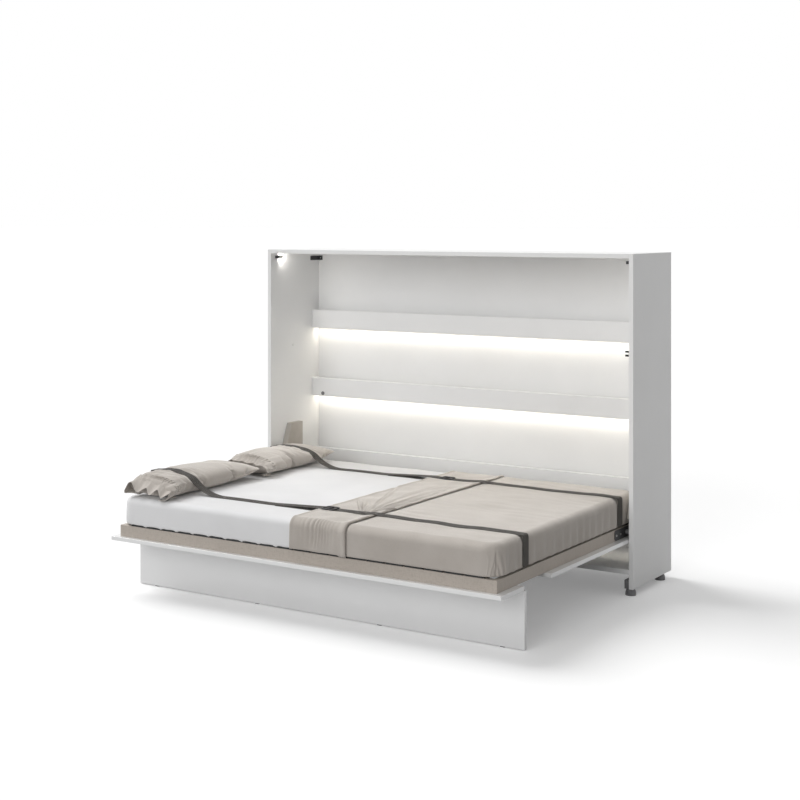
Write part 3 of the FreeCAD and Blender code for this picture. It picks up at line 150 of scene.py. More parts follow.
class Finish:
    """A material on the standard shader, to which grain, sheen and relief are added step by step."""

    EDGE_SAMPLES = 4
    RUBBED_FROM, RUBBED_TO = 0.85, 0.99  # cosines between the rounded normal and the true one

    def __init__(self, name, **sockets):
        self.material = bpy.data.materials.new(name)
        self.material.use_nodes = True
        self.tree = self.material.node_tree
        self.shader = self.tree.nodes["Principled BSDF"]
        for socket, value in sockets.items():
            self.shader.inputs[socket.replace("_", " ")].default_value = value
        self.raised = None

    def add(self, *what, **named):
        """A new node in this material."""
        return add_node(self.tree, *what, **named)

    def into(self, socket, output):
        """Feed one of the shader's sockets."""
        self.tree.links.new(output, self.shader.inputs[socket])

    def spot(self, stretch=(1, 1, 1), by_cloth=False):
        """Where a pattern lies: the piece's own metres, or those of its cloth, stretched."""
        where = self.add("TexCoord").outputs["UV" if by_cloth else "Object"]
        return self.add("Mapping", where, Scale=stretch).outputs[0]

    def noise(self, size, detail=2.0, rough=0.5, **place):
        """Cloudy noise whose features are about one size, in metres."""
        cloud = self.add("TexNoise", self.spot(**place), Scale=1 / size, Detail=detail, Roughness=rough)
        return cloud.outputs["Fac"]

    def waves(self, pitch, way, distortion=0.0, **place):
        """Even waves along X, Y or Z, one every pitch metres; the node's own turn 20 radians per metre."""
        wave = self.add("TexWave", self.spot(**place), settings={"bands_direction": way},
                        Scale=math.tau / (20 * pitch), Distortion=distortion, Detail=1)
        return wave.outputs["Fac"]

    def summed(self, first, second):
        """Two grey patterns added."""
        return self.add("Math", first, second, settings={"operation": "ADD"}).outputs[0]

    def pattern(self, what):
        """A pattern as it is, or cloudy noise made from its size, detail and roughness."""
        return self.noise(*what) if isinstance(what, tuple) else what

    def ramp(self, what, low, high, start=0.3, stop=0.7):
        """The pattern from start to stop, spread between two values or two colours."""
        pattern = self.pattern(what)
        if isinstance(low, (int, float)):
            return self.add("MapRange", pattern, start, stop, low, high).outputs[0]
        spread = self.add("ValToRGB", pattern)
        for point, place, tone in zip(spread.color_ramp.elements, (start, stop), (low, high)):
            point.position = place
            point.color = (*tone, 1)
        return spread.outputs[0]

    def colour(self, pattern, *spread):
        """Spread the pattern between two tones as the colour."""
        self.into("Base Color", self.ramp(pattern, *spread))

    def tint(self, pattern, *spread):
        """Lay a second pattern of tones over the colour, multiplied with it."""
        mix = self.add("Mix", settings={"data_type": "RGBA", "blend_type": "MULTIPLY"}, Factor=1,
                       A=self.shader.inputs["Base Color"].links[0].from_socket, B=self.ramp(pattern, *spread))
        self.into("Base Color", mix.outputs["Result"])

    def gloss(self, pattern, *spread):
        """Spread the pattern between two values as the roughness."""
        self.into("Roughness", self.ramp(pattern, *spread))

    def relief(self, what, depth, strength=1.0):
        """Raise the surface by the pattern, to a depth in metres, over any relief already there."""
        below = {"Normal": self.raised} if self.raised else {}
        bump = self.add("Bump", Strength=strength, Distance=depth, Height=self.pattern(what), **below)
        self.raised = bump.outputs[0]
        self.into("Normal", self.raised)

    def paint_edge_shading(self, reach, high=(0.9, 0.89, 0.87)):
        """Paint light and shade on the eased edges, found where a rounded normal leaves the true one: the colour
        there is multiplied by high, a painted highlight above 1 and painted shade below 1.
        """
        rounded = self.add("Bevel", settings={"samples": self.EDGE_SAMPLES}, Radius=reach).outputs[0]
        true = self.add("NewGeometry").outputs["Normal"]
        near = self.add("VectorMath", rounded, true, settings={"operation": "DOT_PRODUCT"}).outputs["Value"]
        self.tint(near, high, (1, 1, 1), self.RUBBED_FROM, self.RUBBED_TO)

    def on(self, *names):
        """Give the finish to CAD nodes by name."""
        for name in names:
            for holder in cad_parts[name].material_slots:
                holder.material = self.material


laminate = Finish("white_laminate", Roughness=0.42, Specular_IOR_Level=0.4)
laminate.colour((0.35, 3), *LAMINATE)
# painted shade: the eased edges a little darker
laminate.paint_edge_shading(0.0012)
laminate.gloss((0.02, 3), 0.36, 0.48)
laminate.relief((0.0016, 2), 0.00004)
laminate.on(*BOARDS)

# ---------------- ledge lights
# A slim aluminium channel under the upper and middle ledges holds an opal strip that shines warm white
# on the back panel. A small black lamp in each upper corner shines back along the side board.
STRIP_GLOW = 15.0
STRIP_TONE = (1.0, 0.93, 0.80)
LAMP_GLOW = 620.0
LAMP_TONE = (1, 0.97, 0.92)

anodised = Finish("anodised_channel", Metallic=1.0)
anodised.colour(anodised.noise(0.004, 2, stretch=(0.02, 1, 1)), (0.66, 0.66, 0.67), (0.8, 0.8, 0.81))
anodised.gloss(anodised.noise(0.002, 2, stretch=(0.02, 1, 1)), 0.3, 0.46)
anodised.relief(anodised.noise(0.0006, 1, stretch=(0.01, 1, 1)), 0.00002)
anodised.on("light_channels")

opal = Finish("opal_strip", Roughness=0.5, Emission_Strength=STRIP_GLOW, Emission_Color=(*STRIP_TONE, 1))
opal.colour((0.05, 2), (0.9, 0.86, 0.78), (0.95, 0.92, 0.86))
opal.relief((0.001,), 0.00003)
opal.on("light_diffusers")

lit_lens = Finish("lamp_glass", Roughness=0.2, Emission_Strength=LAMP_GLOW, Emission_Color=(*LAMP_TONE, 1))
lit_lens.colour((0.003,), (0.9, 0.88, 0.84), (0.95, 0.94, 0.92))
lit_lens.relief(lit_lens.waves(0.0012, "X"), 0.00006)
lit_lens.on("lamp_lenses")

black_plastic = Finish("black_plastic", Specular_IOR_Level=0.45)
black_plastic.colour((0.01, 3), (0.035, 0.035, 0.037), (0.06, 0.06, 0.062))
# painted highlight: the eased edges nearly twice as light
black_plastic.paint_edge_shading(0.0008, high=(1.9, 1.9, 1.9))
black_plastic.gloss((0.004, 3), 0.38, 0.55)
black_plastic.relief((0.0007, 2), 0.00005)
black_plastic.on("corner_lamps")

# ---------------- light switch
# A round push switch on the middle lip: a satin ring with a dark button that travels 1.5 mm.
ring_satin = Finish("switch_ring_satin", Metallic=0.9)
ring_satin.colour((0.002, 2), (0.14, 0.14, 0.145), (0.2, 0.2, 0.205))
ring_satin.gloss((0.0008, 2), 0.28, 0.4)
ring_satin.relief((0.0003,), 0.00002)
ring_satin.on("switch_ring")
button_grey = Finish("switch_button_grey")
button_grey.colour((0.002, 2), (0.16, 0.16, 0.165), (0.22, 0.22, 0.225))
button_grey.gloss((0.001, 2), 0.4, 0.52)
button_grey.relief((0.0005,), 0.00004)
button_grey.on("switch_button")

# ---------------- small cabinet fittings
# Bent steel wall brackets, white screw caps, black rubber buffers that stop the closing front, and grey
# moulded feet with the blocks that carry them.
powder_coat = Finish("black_powder_coat")
powder_coat.colour((0.02, 3), (0.03, 0.03, 0.031), (0.05, 0.05, 0.052))
# painted highlight: the eased edges much lighter
powder_coat.paint_edge_shading(0.001, high=(2.6, 2.5, 2.4))
powder_coat.gloss((0.005, 2), 0.42, 0.58)
powder_coat.relief((0.0012, 3, 0.7), 0.00012)
powder_coat.on("wall_brackets")

cap_white = Finish("cap_white")
cap_white.colour((0.004, 2), (0.8, 0.8, 0.79), (0.86, 0.86, 0.855))
cap_white.gloss((0.002, 2), 0.3, 0.4)
cap_white.relief((0.0006,), 0.00003)
cap_white.on("cover_caps")

rubber = Finish("black_rubber", Specular_IOR_Level=0.3)
rubber.colour((0.012, 4, 0.65), (0.03, 0.03, 0.031), (0.07, 0.07, 0.071))
rubber.gloss((0.004, 2), 0.7, 0.9)
rubber.relief((0.0009, 3), 0.00012)
rubber.on("door_buffers")

foot_grey = Finish("foot_grey")
foot_grey.colour((0.02, 3), (0.13, 0.13, 0.135), (0.2, 0.2, 0.205))
# painted highlight: the eased edges lighter
foot_grey.paint_edge_shading(0.001, high=(1.4, 1.4, 1.4))
foot_grey.gloss((0.005, 3), 0.45, 0.62)
foot_grey.relief((0.0008, 2), 0.00006)
foot_grey.on("feet", "foot_blocks", "leg_glides", "pivot_bushes")

# ---------------- folding front and leg
# The bed's underside is the shut cabinet's front: high-gloss white lacquer on board, with a leg panel that
# turns down on a piano hinge.
lacquer = Finish("gloss_lacquer", Specular_IOR_Level=0.5, Coat_Weight=0.6, Coat_Roughness=0.04)
lacquer.colour((0.5, 3), (0.83, 0.83, 0.83), (0.87, 0.87, 0.87))
# painted shade: the eased edges a little darker
lacquer.paint_edge_shading(0.0012, high=(0.93, 0.93, 0.92))
lacquer.gloss((0.06, 3), 0.1, 0.2)
lacquer.relief((0.004, 1), 0.00002)
lacquer.on("front_strip", "main_panel", "leg_panel")

zinc = Finish("bright_zinc", Metallic=1.0)
zinc.colour((0.006, 4, 0.6), (0.42, 0.42, 0.42), (0.62, 0.62, 0.61))
zinc.gloss((0.003, 3), 0.24, 0.4)
zinc.relief((0.0008, 2), 0.00003)
zinc.on("hinge_leaf_strip", "hinge_leaf_leg", "hinge_pin", "arm_pins", "arm_screws", "plate_screws",
        "spring_anchors")

# ---------------- bed frame
# Rails of board in a taupe laminate with a fine linen grain, a centre rail, and black steel angles.
linen_laminate = Finish("taupe_laminate", Specular_IOR_Level=0.35)
grain = linen_laminate.summed(linen_laminate.noise(0.0022, 2, stretch=(0.12, 1, 1)),
                              linen_laminate.noise(0.0022, 2, stretch=(1, 1, 0.12)))
linen_laminate.colour(grain, (0.415, 0.37, 0.325), (0.49, 0.44, 0.39), 0.75, 1.25)
linen_laminate.tint((0.25, 3), (0.93, 0.93, 0.93), (1, 1, 1))
# painted highlight: the eased edges a little lighter
linen_laminate.paint_edge_shading(0.0012, high=(1.1, 1.09, 1.08))
linen_laminate.gloss((0.01, 3), 0.5, 0.62)
linen_laminate.relief(grain, 0.00005)
linen_laminate.on("rail_front", "rail_rear", "rail_left", "rail_right", "centre_rail")
powder_coat.on("corner_angles", "hinge_arm_left", "hinge_arm_right")

# ---------------- slats
# Twenty sprung beech slats across the bed, each end in a black rubber holder on the rail. The grain runs
# along the slat, with short dark flecks.
beech = Finish("beech_veneer", Specular_IOR_Level=0.35)
beech.colour(beech.noise(0.004, 4, 0.6, stretch=(1, 0.05, 1)), (0.47, 0.33, 0.19), (0.62, 0.47, 0.3))
beech.tint(beech.noise(0.0012, 2, stretch=(1, 0.12, 1)), (0.8, 0.76, 0.7), (1, 1, 1), 0.25, 0.42)
# painted shade: the eased edges a little darker
beech.paint_edge_shading(0.001, high=(0.86, 0.84, 0.8))
beech.gloss((0.01, 2), 0.45, 0.6)
beech.relief(beech.noise(0.0012, 3, stretch=(1, 0.08, 1)), 0.00006)
beech.on("slats")
rubber.on("slat_holders")

# ---------------- lift mechanism
# A zinc plate on each side board, a grey moulded cover over the gas spring, and the black gas spring itself
# with its chromed rod.
plate_zinc = Finish("plate_zinc", Metallic=1.0)
plate_zinc.colour((0.03, 4, 0.65), (0.36, 0.36, 0.35), (0.55, 0.55, 0.54))
plate_zinc.gloss((0.008, 3), 0.3, 0.48)
plate_zinc.relief((0.001, 2), 0.00003)
plate_zinc.on("mechanism_plate_left", "mechanism_plate_right")

cover_grey = Finish("cover_plastic", Specular_IOR_Level=0.4)
cover_grey.colour((0.08, 3), (0.43, 0.4, 0.36), (0.5, 0.465, 0.425))
# painted highlight: the eased edges a little lighter
cover_grey.paint_edge_shading(0.0015, high=(1.1, 1.1, 1.1))
cover_grey.gloss((0.006, 3), 0.45, 0.58)
cover_grey.relief((0.0009, 3), 0.00007)
cover_grey.on("mechanism_cover_left", "mechanism_cover_right")

enamel = Finish("black_enamel", Specular_IOR_Level=0.5)
enamel.colour((0.02, 3), (0.018, 0.018, 0.019), (0.032, 0.032, 0.034))
enamel.gloss((0.006, 3), 0.22, 0.36)
enamel.relief((0.002, 1), 0.00003)
enamel.on("spring_cylinder_left", "spring_cylinder_right")
chrome = Finish("chromed_rod", Metallic=1.0)
chrome.colour((0.004, 2), (0.74, 0.74, 0.75), (0.82, 0.82, 0.83))
chrome.gloss((0.002, 2), 0.06, 0.14)
chrome.relief((0.0006,), 0.00001)
chrome.on("spring_rod_left", "spring_rod_right")

# ---------------- mattress in its sheet
# A foam mattress 128 mm thick in a white stretch sheet that is drawn under it. The sheet lies smooth on top,
# its sides swell a little between the edges, and it gathers in soft flutes round each corner.
CORNER = 0.070
EDGE = 0.030
UNDER = 0.006
DRAWN_UNDER = 0.05
MATTRESS_STEP = 0.009
SWELL = 0.0022
SHRINK = 0.001
FLUTES, FLUTE_HIGH = 26, 0.0016
TOP_HILLS, TOP_HIGH = (0.32, 3), 0.0006  # the hills' size and seed, and their height
CREASES, CREASE_DEEP = (0.22, 8), 0.0007
DRAG, DRAG_HIGH = (0.061, 1.3, 9), 0.0005  # the waves' pitch, how far they stray and how fast
INSET, LIFT_MOST = 0.0006, 0.0002
HOLDER_PITCH = 0.094
SAG, SAG_WIDE, SAG_SPAN = 0.0056, 0.0085, 0.9
RIM_START, RIM_STOP = 0.03, 0.004
RIPPLE_WAVES = 18


def corners_of(node):
    """A CAD node's lowest and highest corners, as arrays."""
    return [np.array(corner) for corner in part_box(node)]


mattress_low, mattress_high = corners_of("mattress")
MIDDLE = (mattress_low + mattress_high) / 2
CORE = (mattress_high - mattress_low) / 2 - CORNER
TOP = mattress_high[2]
BOTTOM = mattress_low[2]
FLAT = CORNER - EDGE
ARC = EDGE * math.pi / 2
DROP = TOP - EDGE - BOTTOM - UNDER
TURN = UNDER * math.pi / 2
BAND_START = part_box("duvet_band")[0][0]
CORE_RIGHT = MIDDLE[0] + CORE[0]
CORE_FRONT = MIDDLE[1] - CORE[1]


def laid(p, q, lift):
    """Where a point of cloth lies on the mattress.

    p and q are its metres on the flat cloth along X and Y, and lift is its height over the mattress. Beyond
    the core, the larger overhang is followed over the edge and down, and the smaller one turns it round the
    corner: an angle of 45 degrees times their ratio.
    """
    over_x = np.maximum(np.abs(p - MIDDLE[0]) - CORE[0], 0)
    over_y = np.maximum(np.abs(q - MIDDLE[1]) - CORE[1], 0)
    outside = (over_x > 0) | (over_y > 0)
    most = np.maximum(np.maximum(over_x, over_y), 1e-9)
    ratio = np.minimum(over_x, over_y) / most
    turn = np.where(over_x >= over_y, ratio * math.pi / 4, math.pi / 2 - ratio * math.pi / 4)
    past_flat = most - FLAT
    past_arc = past_flat - ARC
    past_drop = past_arc - DROP
    bend = np.clip(past_flat / EDGE, 0, math.pi / 2)
    under = np.clip(past_drop / UNDER, 0, math.pi / 2)
    reach = np.where(most < FLAT, most, FLAT + (EDGE + lift) * np.sin(bend))
    reach = reach - (UNDER + lift) * (1 - np.cos(under)) - np.maximum(past_drop - TURN, 0)
    down = np.clip(past_arc, 0, DROP)
    height = TOP - EDGE + (EDGE + lift) * np.cos(bend) - down - (UNDER + lift) * np.sin(under)
    flat = [np.clip(at, MIDDLE[axis] - CORE[axis], MIDDLE[axis] + CORE[axis])
            + np.sign(at - MIDDLE[axis]) * reach * part * outside
            for axis, at, part in ((0, p, np.cos(turn)), (1, q, np.sin(turn)))]
    return np.stack([*flat, height], axis=-1)


def ripples(p, q, size, seed, stretch=1.0):
    """Smooth random hills of about one size on the cloth: many sine waves in random directions, added."""
    draw = np.random.default_rng(seed)
    angles = draw.uniform(0, math.tau, RIPPLE_WAVES)
    pitches = size * draw.uniform(0.7, 1.6, RIPPLE_WAVES)
    shifts = draw.uniform(0, math.tau, RIPPLE_WAVES)
    total = np.zeros(np.broadcast(p, q).shape)
    for angle, pitch, shift in zip(angles, pitches, shifts):
        total += np.sin((p * math.cos(angle) + q * math.sin(angle) / stretch) * math.tau / pitch + shift)
    return total / math.sqrt(RIPPLE_WAVES / 2)


def wandering(at, pitch, stray, rate):
    """Waves of about one pitch: the sine of the place's turns plus stray times the sine of rate times it."""
    return np.sin(at * math.tau / pitch + stray * np.sin(at * rate))


def hump(at, wide, power=2):
    """A hump of height 1 round 0: exp(-(at / wide) ** power)."""
    return np.exp(-(at / wide) ** power)


def smooth(value, start, stop):
    """0 below start, 1 above stop and a smooth step between them."""
    share = np.clip((value - start) / (stop - start), 0, 1)
    return share * share * (3 - 2 * share)


def grid(rows, columns, wrap=(0, 0)):
    """The numbers of a grid's points, and the four corners of each cell; wrap joins rows or columns round."""
    index = np.arange(rows * columns).reshape(rows, columns)
    index = np.pad(index, ((0, wrap[0]), (0, wrap[1])), mode="wrap")
    cells = np.stack([index[:-1, :-1], index[1:, :-1], index[1:, 1:], index[:-1, 1:]], -1)
    return index, cells.reshape(-1, 4)


def rim_of(index):
    """The numbers of the points round a grid's rim."""
    return np.concatenate([index[0, :-1], index[:-1, -1], index[-1, :0:-1], index[:0:-1, 0]])


def lay_cloth(piece, cloth):
    """Give a piece its UV map: the flat cloth's metres at each of its points."""
    layer = piece.data.uv_layers.new(name="cloth")
    corners = np.zeros(len(piece.data.loops), dtype=np.int32)
    piece.data.loops.foreach_get("vertex_index", corners)
    layer.data.foreach_set("uv", cloth.reshape(-1, 2)[corners].ravel())


def new_piece(name, points, faces):
    """A smooth piece from its points and its faces' point numbers."""
    mesh = bpy.data.meshes.new(name)
    mesh.from_pydata(points.reshape(-1, 3).tolist(), [], faces)
    mesh.shade_smooth()
    piece = bpy.data.objects.new(name, mesh)
    scene.collection.objects.link(piece)
    return piece


def close_up(piece, weld=0, cap=0):
    """Weld points nearer than weld, cap open ends of up to cap sides, and turn every face outwards."""
    shape = bmesh.new()
    shape.from_mesh(piece.data)
    if weld:
        bmesh.ops.remove_doubles(shape, verts=shape.verts, dist=weld)
    if cap:
        bmesh.ops.holes_fill(shape, edges=shape.edges, sides=cap)
    bmesh.ops.recalc_face_normals(shape, faces=shape.faces)
    if shape.calc_volume(signed=True) < 0:
        bmesh.ops.reverse_faces(shape, faces=shape.faces)
    shape.to_mesh(piece.data)
    shape.free()


side = CORE + (FLAT + ARC + DROP + TURN + DRAWN_UNDER)
p, q = np.meshgrid(*(MIDDLE[axis] + np.linspace(-side[axis], side[axis], int(2 * side[axis] / MATTRESS_STEP))
                     for axis in (0, 1)), indexing="ij")
over_x = np.abs(p - MIDDLE[0]) - CORE[0]
over_y = np.abs(q - MIDDLE[1]) - CORE[1]
side_deep = ARC / 2 + DROP
past_edge = np.maximum(over_x, over_y) - FLAT - ARC / 2
side_share = np.clip(past_edge / side_deep, 0, 1)
swell = SWELL * np.sin(math.pi * side_share) - SHRINK
corner_turn = np.arctan2(np.maximum(over_y, 0.0), np.maximum(over_x, 1e-6))
at_corner = (over_x > 0) & (over_y > 0)
flutes = np.where(at_corner, np.sin(corner_turn * FLUTES) * FLUTE_HIGH * smooth(side_share, 0.35, 1.0), 0)
soft_top = TOP_HIGH * ripples(p, q, *TOP_HILLS) * (1 - side_share)
creases = -CREASE_DEEP * np.abs(ripples(p, q, *CREASES)) * smooth(side_share, 0.02, 0.3)
drag = DRAG_HIGH * wandering(p, *DRAG) * smooth(side_share, 0.3, 0.9) * (over_y > 0)
points = laid(p, q, np.minimum(swell + flutes + soft_top + creases + drag - INSET, LIFT_MOST))
# left of the band, the sheet's low edge is drawn down at each slat holder
holder_at = np.abs((p / HOLDER_PITCH) % 1.0) * HOLDER_PITCH
sag = (p < BAND_START) * hump(np.minimum(holder_at, HOLDER_PITCH - holder_at), SAG_WIDE) * (
    np.abs(p) < SAG_SPAN) * (over_y > 0)
low_rim = smooth(past_edge, side_deep - RIM_START, side_deep) * (
    1 - smooth(past_edge, side_deep + TURN, side_deep + TURN + RIM_STOP))
points[..., 2] -= SAG * sag * low_rim
index, cells = grid(*p.shape)
mattress = new_piece("mattress_in_sheet", points, [*cells.tolist(), rim_of(index).tolist()])
lay_cloth(mattress, np.stack([p, q], -1))
close_up(mattress)

sheet_cotton = Finish("white_sheet", Roughness=0.9, Specular_IOR_Level=0.2, Sheen_Weight=0.25,
                      Sheen_Roughness=0.5)
sheet_cotton.colour((0.25, 3), (0.76, 0.76, 0.765), (0.81, 0.81, 0.815))
knit = sheet_cotton.summed(sheet_cotton.noise(0.0011, 1, by_cloth=True, stretch=(1, 0.4, 1)),
                           sheet_cotton.noise(0.0011, 1, by_cloth=True, stretch=(0.4, 1, 1)))
sheet_cotton.tint(knit, (0.96, 0.96, 0.965), (1, 1, 1), 0.8, 1.2)
sheet_cotton.relief((0.09, 3, 0.55), 0.0022, 0.5)
sheet_cotton.relief(knit, 0.00018)
mattress.data.materials.append(sheet_cotton.material)
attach(mattress, "bed")
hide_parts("mattress")

# ---------------- duvet
# A thin beige cotton duvet, tucked tight over the right part of the mattress. Its front corner is boxed: a
# seam runs down it, with pleats on each side, and its sides gather a little where they are tucked in.
DUVET_THICK = 0.0075
DUVET_LEAST = 0.003
TUCKED_THICK = 0.0034
SHEET_GAP = 0.0004
HEM_ROLL = 0.010
BAND_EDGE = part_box("duvet")[0][0]
strap_boxes = {end: corners_of(f"strap_{end}") for end in ("front", "rear")}
STRAP_Y = {end: (low[1] + high[1]) / 2 for end, (low, high) in strap_boxes.items()}
REAR_REACH = 0.0585
TUCKED = 0.03
DUVET_STEP = 0.007
DUVET_HILLS, HILL_HIGH = (0.24, 11), 0.0009
LONG_FOLDS, FOLD_HIGH = (0.3, 21, 0.35), 0.0005  # size, seed, stretch; height
END_GATHERS, GATHER_HIGH = (0.075, 2.2, 7.3), 0.0026
FRONT_PULLS, PULL_HIGH = (0.16, 2, 5.1), 0.0009
STRAP_HALF, STRAP_PRESS = 0.031, 0.0036
SEAM_TURN, SEAM_WIDE, SEAM_DEEP = 0.86, 0.032, 0.0062
PLEAT_CENTRE = (0.02, 0.17)
CORNER_PLEATS = ((0.0022, 0.105, 0.006), (0.0018, 0.14, 0.008))  # height, distance and width


def two_layers(rows, columns):
    """A grid's point numbers, and the faces of two such grids, the second one's turned over."""
    index, cells = grid(rows, columns)
    return index, np.concatenate([cells, cells[:, ::-1] + index.size])


def quilt(name, p, q, outer, inner):
    """A closed cloth of some thickness on the mattress: an outer face, an inner face and a rolled rim.

    outer and inner are heights over the mattress; towards the rim the outer one falls to the inner one along
    a quarter circle, so the hem is round.
    """
    near = np.minimum(np.minimum(p - p.min(), p.max() - p), np.minimum(q - q.min(), q.max() - q))
    share = np.clip(near / HEM_ROLL, 0, 1)
    outer = inner + (outer - inner) * np.sqrt(1 - (1 - share) ** 2)
    faces = two_layers(*p.shape)[1]
    piece = new_piece(name, np.stack([laid(p, q, outer), laid(p, q, inner)]), faces.tolist())
    lay_cloth(piece, np.stack([np.stack([p, q], -1)] * 2))
    close_up(piece, weld=1e-7)
    return piece


def stations(start, stop, step, fine_from, fine_to):
    """Places from start to stop: one every step, and twice as many outside fine_from and fine_to."""
    inner_start, inner_stop = max(start, fine_from), min(stop, fine_to)
    runs = [(start, inner_start, step / 2), (inner_start, inner_stop, step), (inner_stop, stop, step / 2)]
    places = [np.linspace(a, b, max(int((b - a) / every), 2))[:-1] for a, b, every in runs if b - a > step]
    return np.append(np.concatenate(places), stop)


def duvet_lift(p, q):
    """Height of the duvet's outer face over the mattress: its thickness, soft hills, pleats and gathers."""
    over_x = p - MIDDLE[0] - CORE[0]
    over_y = CORE_FRONT - q
    most = np.maximum(over_x, over_y)
    on_top = 1 - smooth(most, FLAT, FLAT + ARC + DROP)
    hills = HILL_HIGH * ripples(p, q, *DUVET_HILLS) * on_top
    long_folds = FOLD_HIGH * np.abs(ripples(p, q, *LONG_FOLDS)) * on_top
    # gathers on the right end, and a few soft pulls on the front
    end_gathers = GATHER_HIGH * wandering(q, *END_GATHERS) * smooth(over_x, 0.05, 0.15) * (over_x > over_y)
    front_pulls = PULL_HIGH * wandering(p, *FRONT_PULLS) * smooth(over_y, 0.05, 0.15) * (over_y >= over_x)
    # the straps press the cloth flat where they turn down the right end
    strapped = sum(hump(q - y, STRAP_HALF, 4) for y in STRAP_Y.values()) * smooth(over_x, 0.0, FLAT + 0.03)
    end_gathers = end_gathers * (1 - strapped) - STRAP_PRESS * strapped
    # the boxed corner: a valley down its seam, and pleats that curve away from it
    turn = np.arctan2(np.maximum(over_x, 1e-6), np.maximum(over_y, 1e-6))
    seam = -SEAM_DEEP * hump(turn - SEAM_TURN, SEAM_WIDE) * smooth(most, FLAT + ARC * 0.5, FLAT + ARC + 0.02)
    bow = np.hypot(np.maximum(over_x, 0) + PLEAT_CENTRE[0], np.maximum(over_y, 0) - PLEAT_CENTRE[1])
    pleats = sum(high * hump(bow - away, wide) for high, away, wide in CORNER_PLEATS)
    corner_folds = (seam + pleats * smooth(over_y, 0.05, 0.09)) * (over_x > -0.09)
    return DUVET_THICK + hills + long_folds + end_gathers + front_pulls + corner_folds


hem = FLAT + ARC + DROP + UNDER * 0.7
q_front = CORE_FRONT - hem
q_rear = MIDDLE[1] + CORE[1] + REAR_REACH
p, q = np.meshgrid(
    stations(BAND_EDGE - TUCKED, CORE_RIGHT + hem, DUVET_STEP, BAND_EDGE + 0.03, CORE_RIGHT),
    stations(q_front, q_rear, DUVET_STEP, CORE_FRONT, q_rear), indexing="ij")
tucked_share = smooth(p, BAND_EDGE - 0.004, BAND_EDGE + 0.014)
outer = TUCKED_THICK + (np.maximum(duvet_lift(p, q), DUVET_LEAST) - TUCKED_THICK) * tucked_share
duvet = quilt("duvet_cover", p, q, outer, np.full(p.shape, SHEET_GAP))

cotton = Finish("beige_cotton", Roughness=0.92, Specular_IOR_Level=0.15, Sheen_Weight=0.9, Sheen_Roughness=0.42,
                Sheen_Tint=(0.95, 0.92, 0.88, 1))
cotton.colour((0.2, 4, 0.55), (0.455, 0.415, 0.375), (0.53, 0.49, 0.45))
warp = cotton.summed(cotton.noise(0.0012, 2, by_cloth=True, stretch=(1, 0.18, 1)),
                     cotton.noise(0.0012, 2, by_cloth=True, stretch=(0.18, 1, 1)))
cotton.tint(warp, (0.9, 0.9, 0.9), (1, 1, 1), 0.75, 1.25)
cotton.relief((0.05, 4, 0.6), 0.002, 0.4)
cotton.relief(warp, 0.0003)
duvet.data.materials.append(cotton.material)
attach(duvet, "bed")
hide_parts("duvet")

# ---------------- turned-down band
# The duvet's head is turned down into a band about 300 mm wide. The front strap pinches it, and pleats fan
# from there towards the rear; below the front edge it hangs in fine gathers. Its right edge is a soft roll.
BAND_THICK = 0.0095
BAND_LEAST = 0.0025
BAND_STEP = 0.0036
FAN_AT = (BAND_START + 0.235, STRAP_Y["front"] - 0.035)
FAN_FROM, FAN_SPREAD, FAN_SEED = -0.62, 1.05, 12
PLEATS = 12
PLEAT_WIDE, PLEAT_WIDENS = 0.0030, 0.0045
HILL_BESIDE = (1.1, 2.0, 1.3)  # its height, distance and width, in the pleat's depths and widths
PINCH, PINCH_WIDE = -0.002, 0.03
HANG_PITCH, HANG_HIGH = 0.019, 0.0072
SLACK, SLACK_HIGH = (0.1, 31, 2.5), 0.0018
LEFT_ROLL, ROLL_WIDE = 0.004, 0.008
EDGE_LIFT = 0.0055
OVER_TUCK = 0.0085


def band_lift(p, q):
    """Height of the band's outer face: thickness, sharp pleats that fan out, and gathers where it hangs.

    A pleat is a ray from the fan's centre: a narrow valley with a soft hill beside it, both shaped as
    exp(-(distance from the ray / width) ** 2).
    """
    over_y = CORE_FRONT - q
    across = (p - BAND_START) / (BAND_EDGE - BAND_START)
    draw = np.random.default_rng(FAN_SEED)
    away = np.hypot(p - FAN_AT[0], q - FAN_AT[1])
    angle = np.arctan2(p - FAN_AT[0], q - FAN_AT[1])
    fan = np.zeros(p.shape)
    for count in range(PLEATS):
        way = FAN_FROM + FAN_SPREAD * (count + draw.uniform(-0.8, 0.8)) / (PLEATS - 1)
        bow = draw.uniform(-0.30, 0.30)
        reach = draw.uniform(0.3, 1.0)
        begin = draw.uniform(0.0, 0.12)
        beside = away * (angle - way - bow * (away - 0.1) ** 2)
        width = PLEAT_WIDE + PLEAT_WIDENS * away
        depth = draw.uniform(0.005, 0.0098) * smooth(away, begin, begin + 0.06)
        depth = depth * (1 - smooth(away, 0.42 * reach, 0.95 * reach))
        high, off, wide = HILL_BESIDE
        fan -= depth * hump(beside, width)
        fan += high * depth * hump(beside - off * width, wide * width)
    pinch = sum(PINCH * hump(q - y, PINCH_WIDE) for y in STRAP_Y.values())
    # the hanging part: fine gathers near its middle, which bow and fade downwards
    hanging = smooth(over_y, 0.02, 0.07)
    phase = p * math.tau / HANG_PITCH + 2.6 * np.sin(p * 37) + 13 * over_y
    gathers = HANG_HIGH * (np.abs(np.sin(phase / 2)) ** 0.7 - 0.6) * hump(across - 0.5, 0.24) * hanging * (
        1 - smooth(over_y, 0.12, 0.185))
    slack = SLACK_HIGH * np.abs(ripples(p, q, *SLACK)) * hanging
    left_roll = LEFT_ROLL * hump(p - BAND_START - ROLL_WIDE, ROLL_WIDE)
    edge = EDGE_LIFT * smooth(p, BAND_EDGE - 0.045, BAND_EDGE - 0.012)
    return BAND_THICK + fan + pinch + gathers + slack + left_roll + edge + 0.0008 * ripples(p, q, 0.13, 6)


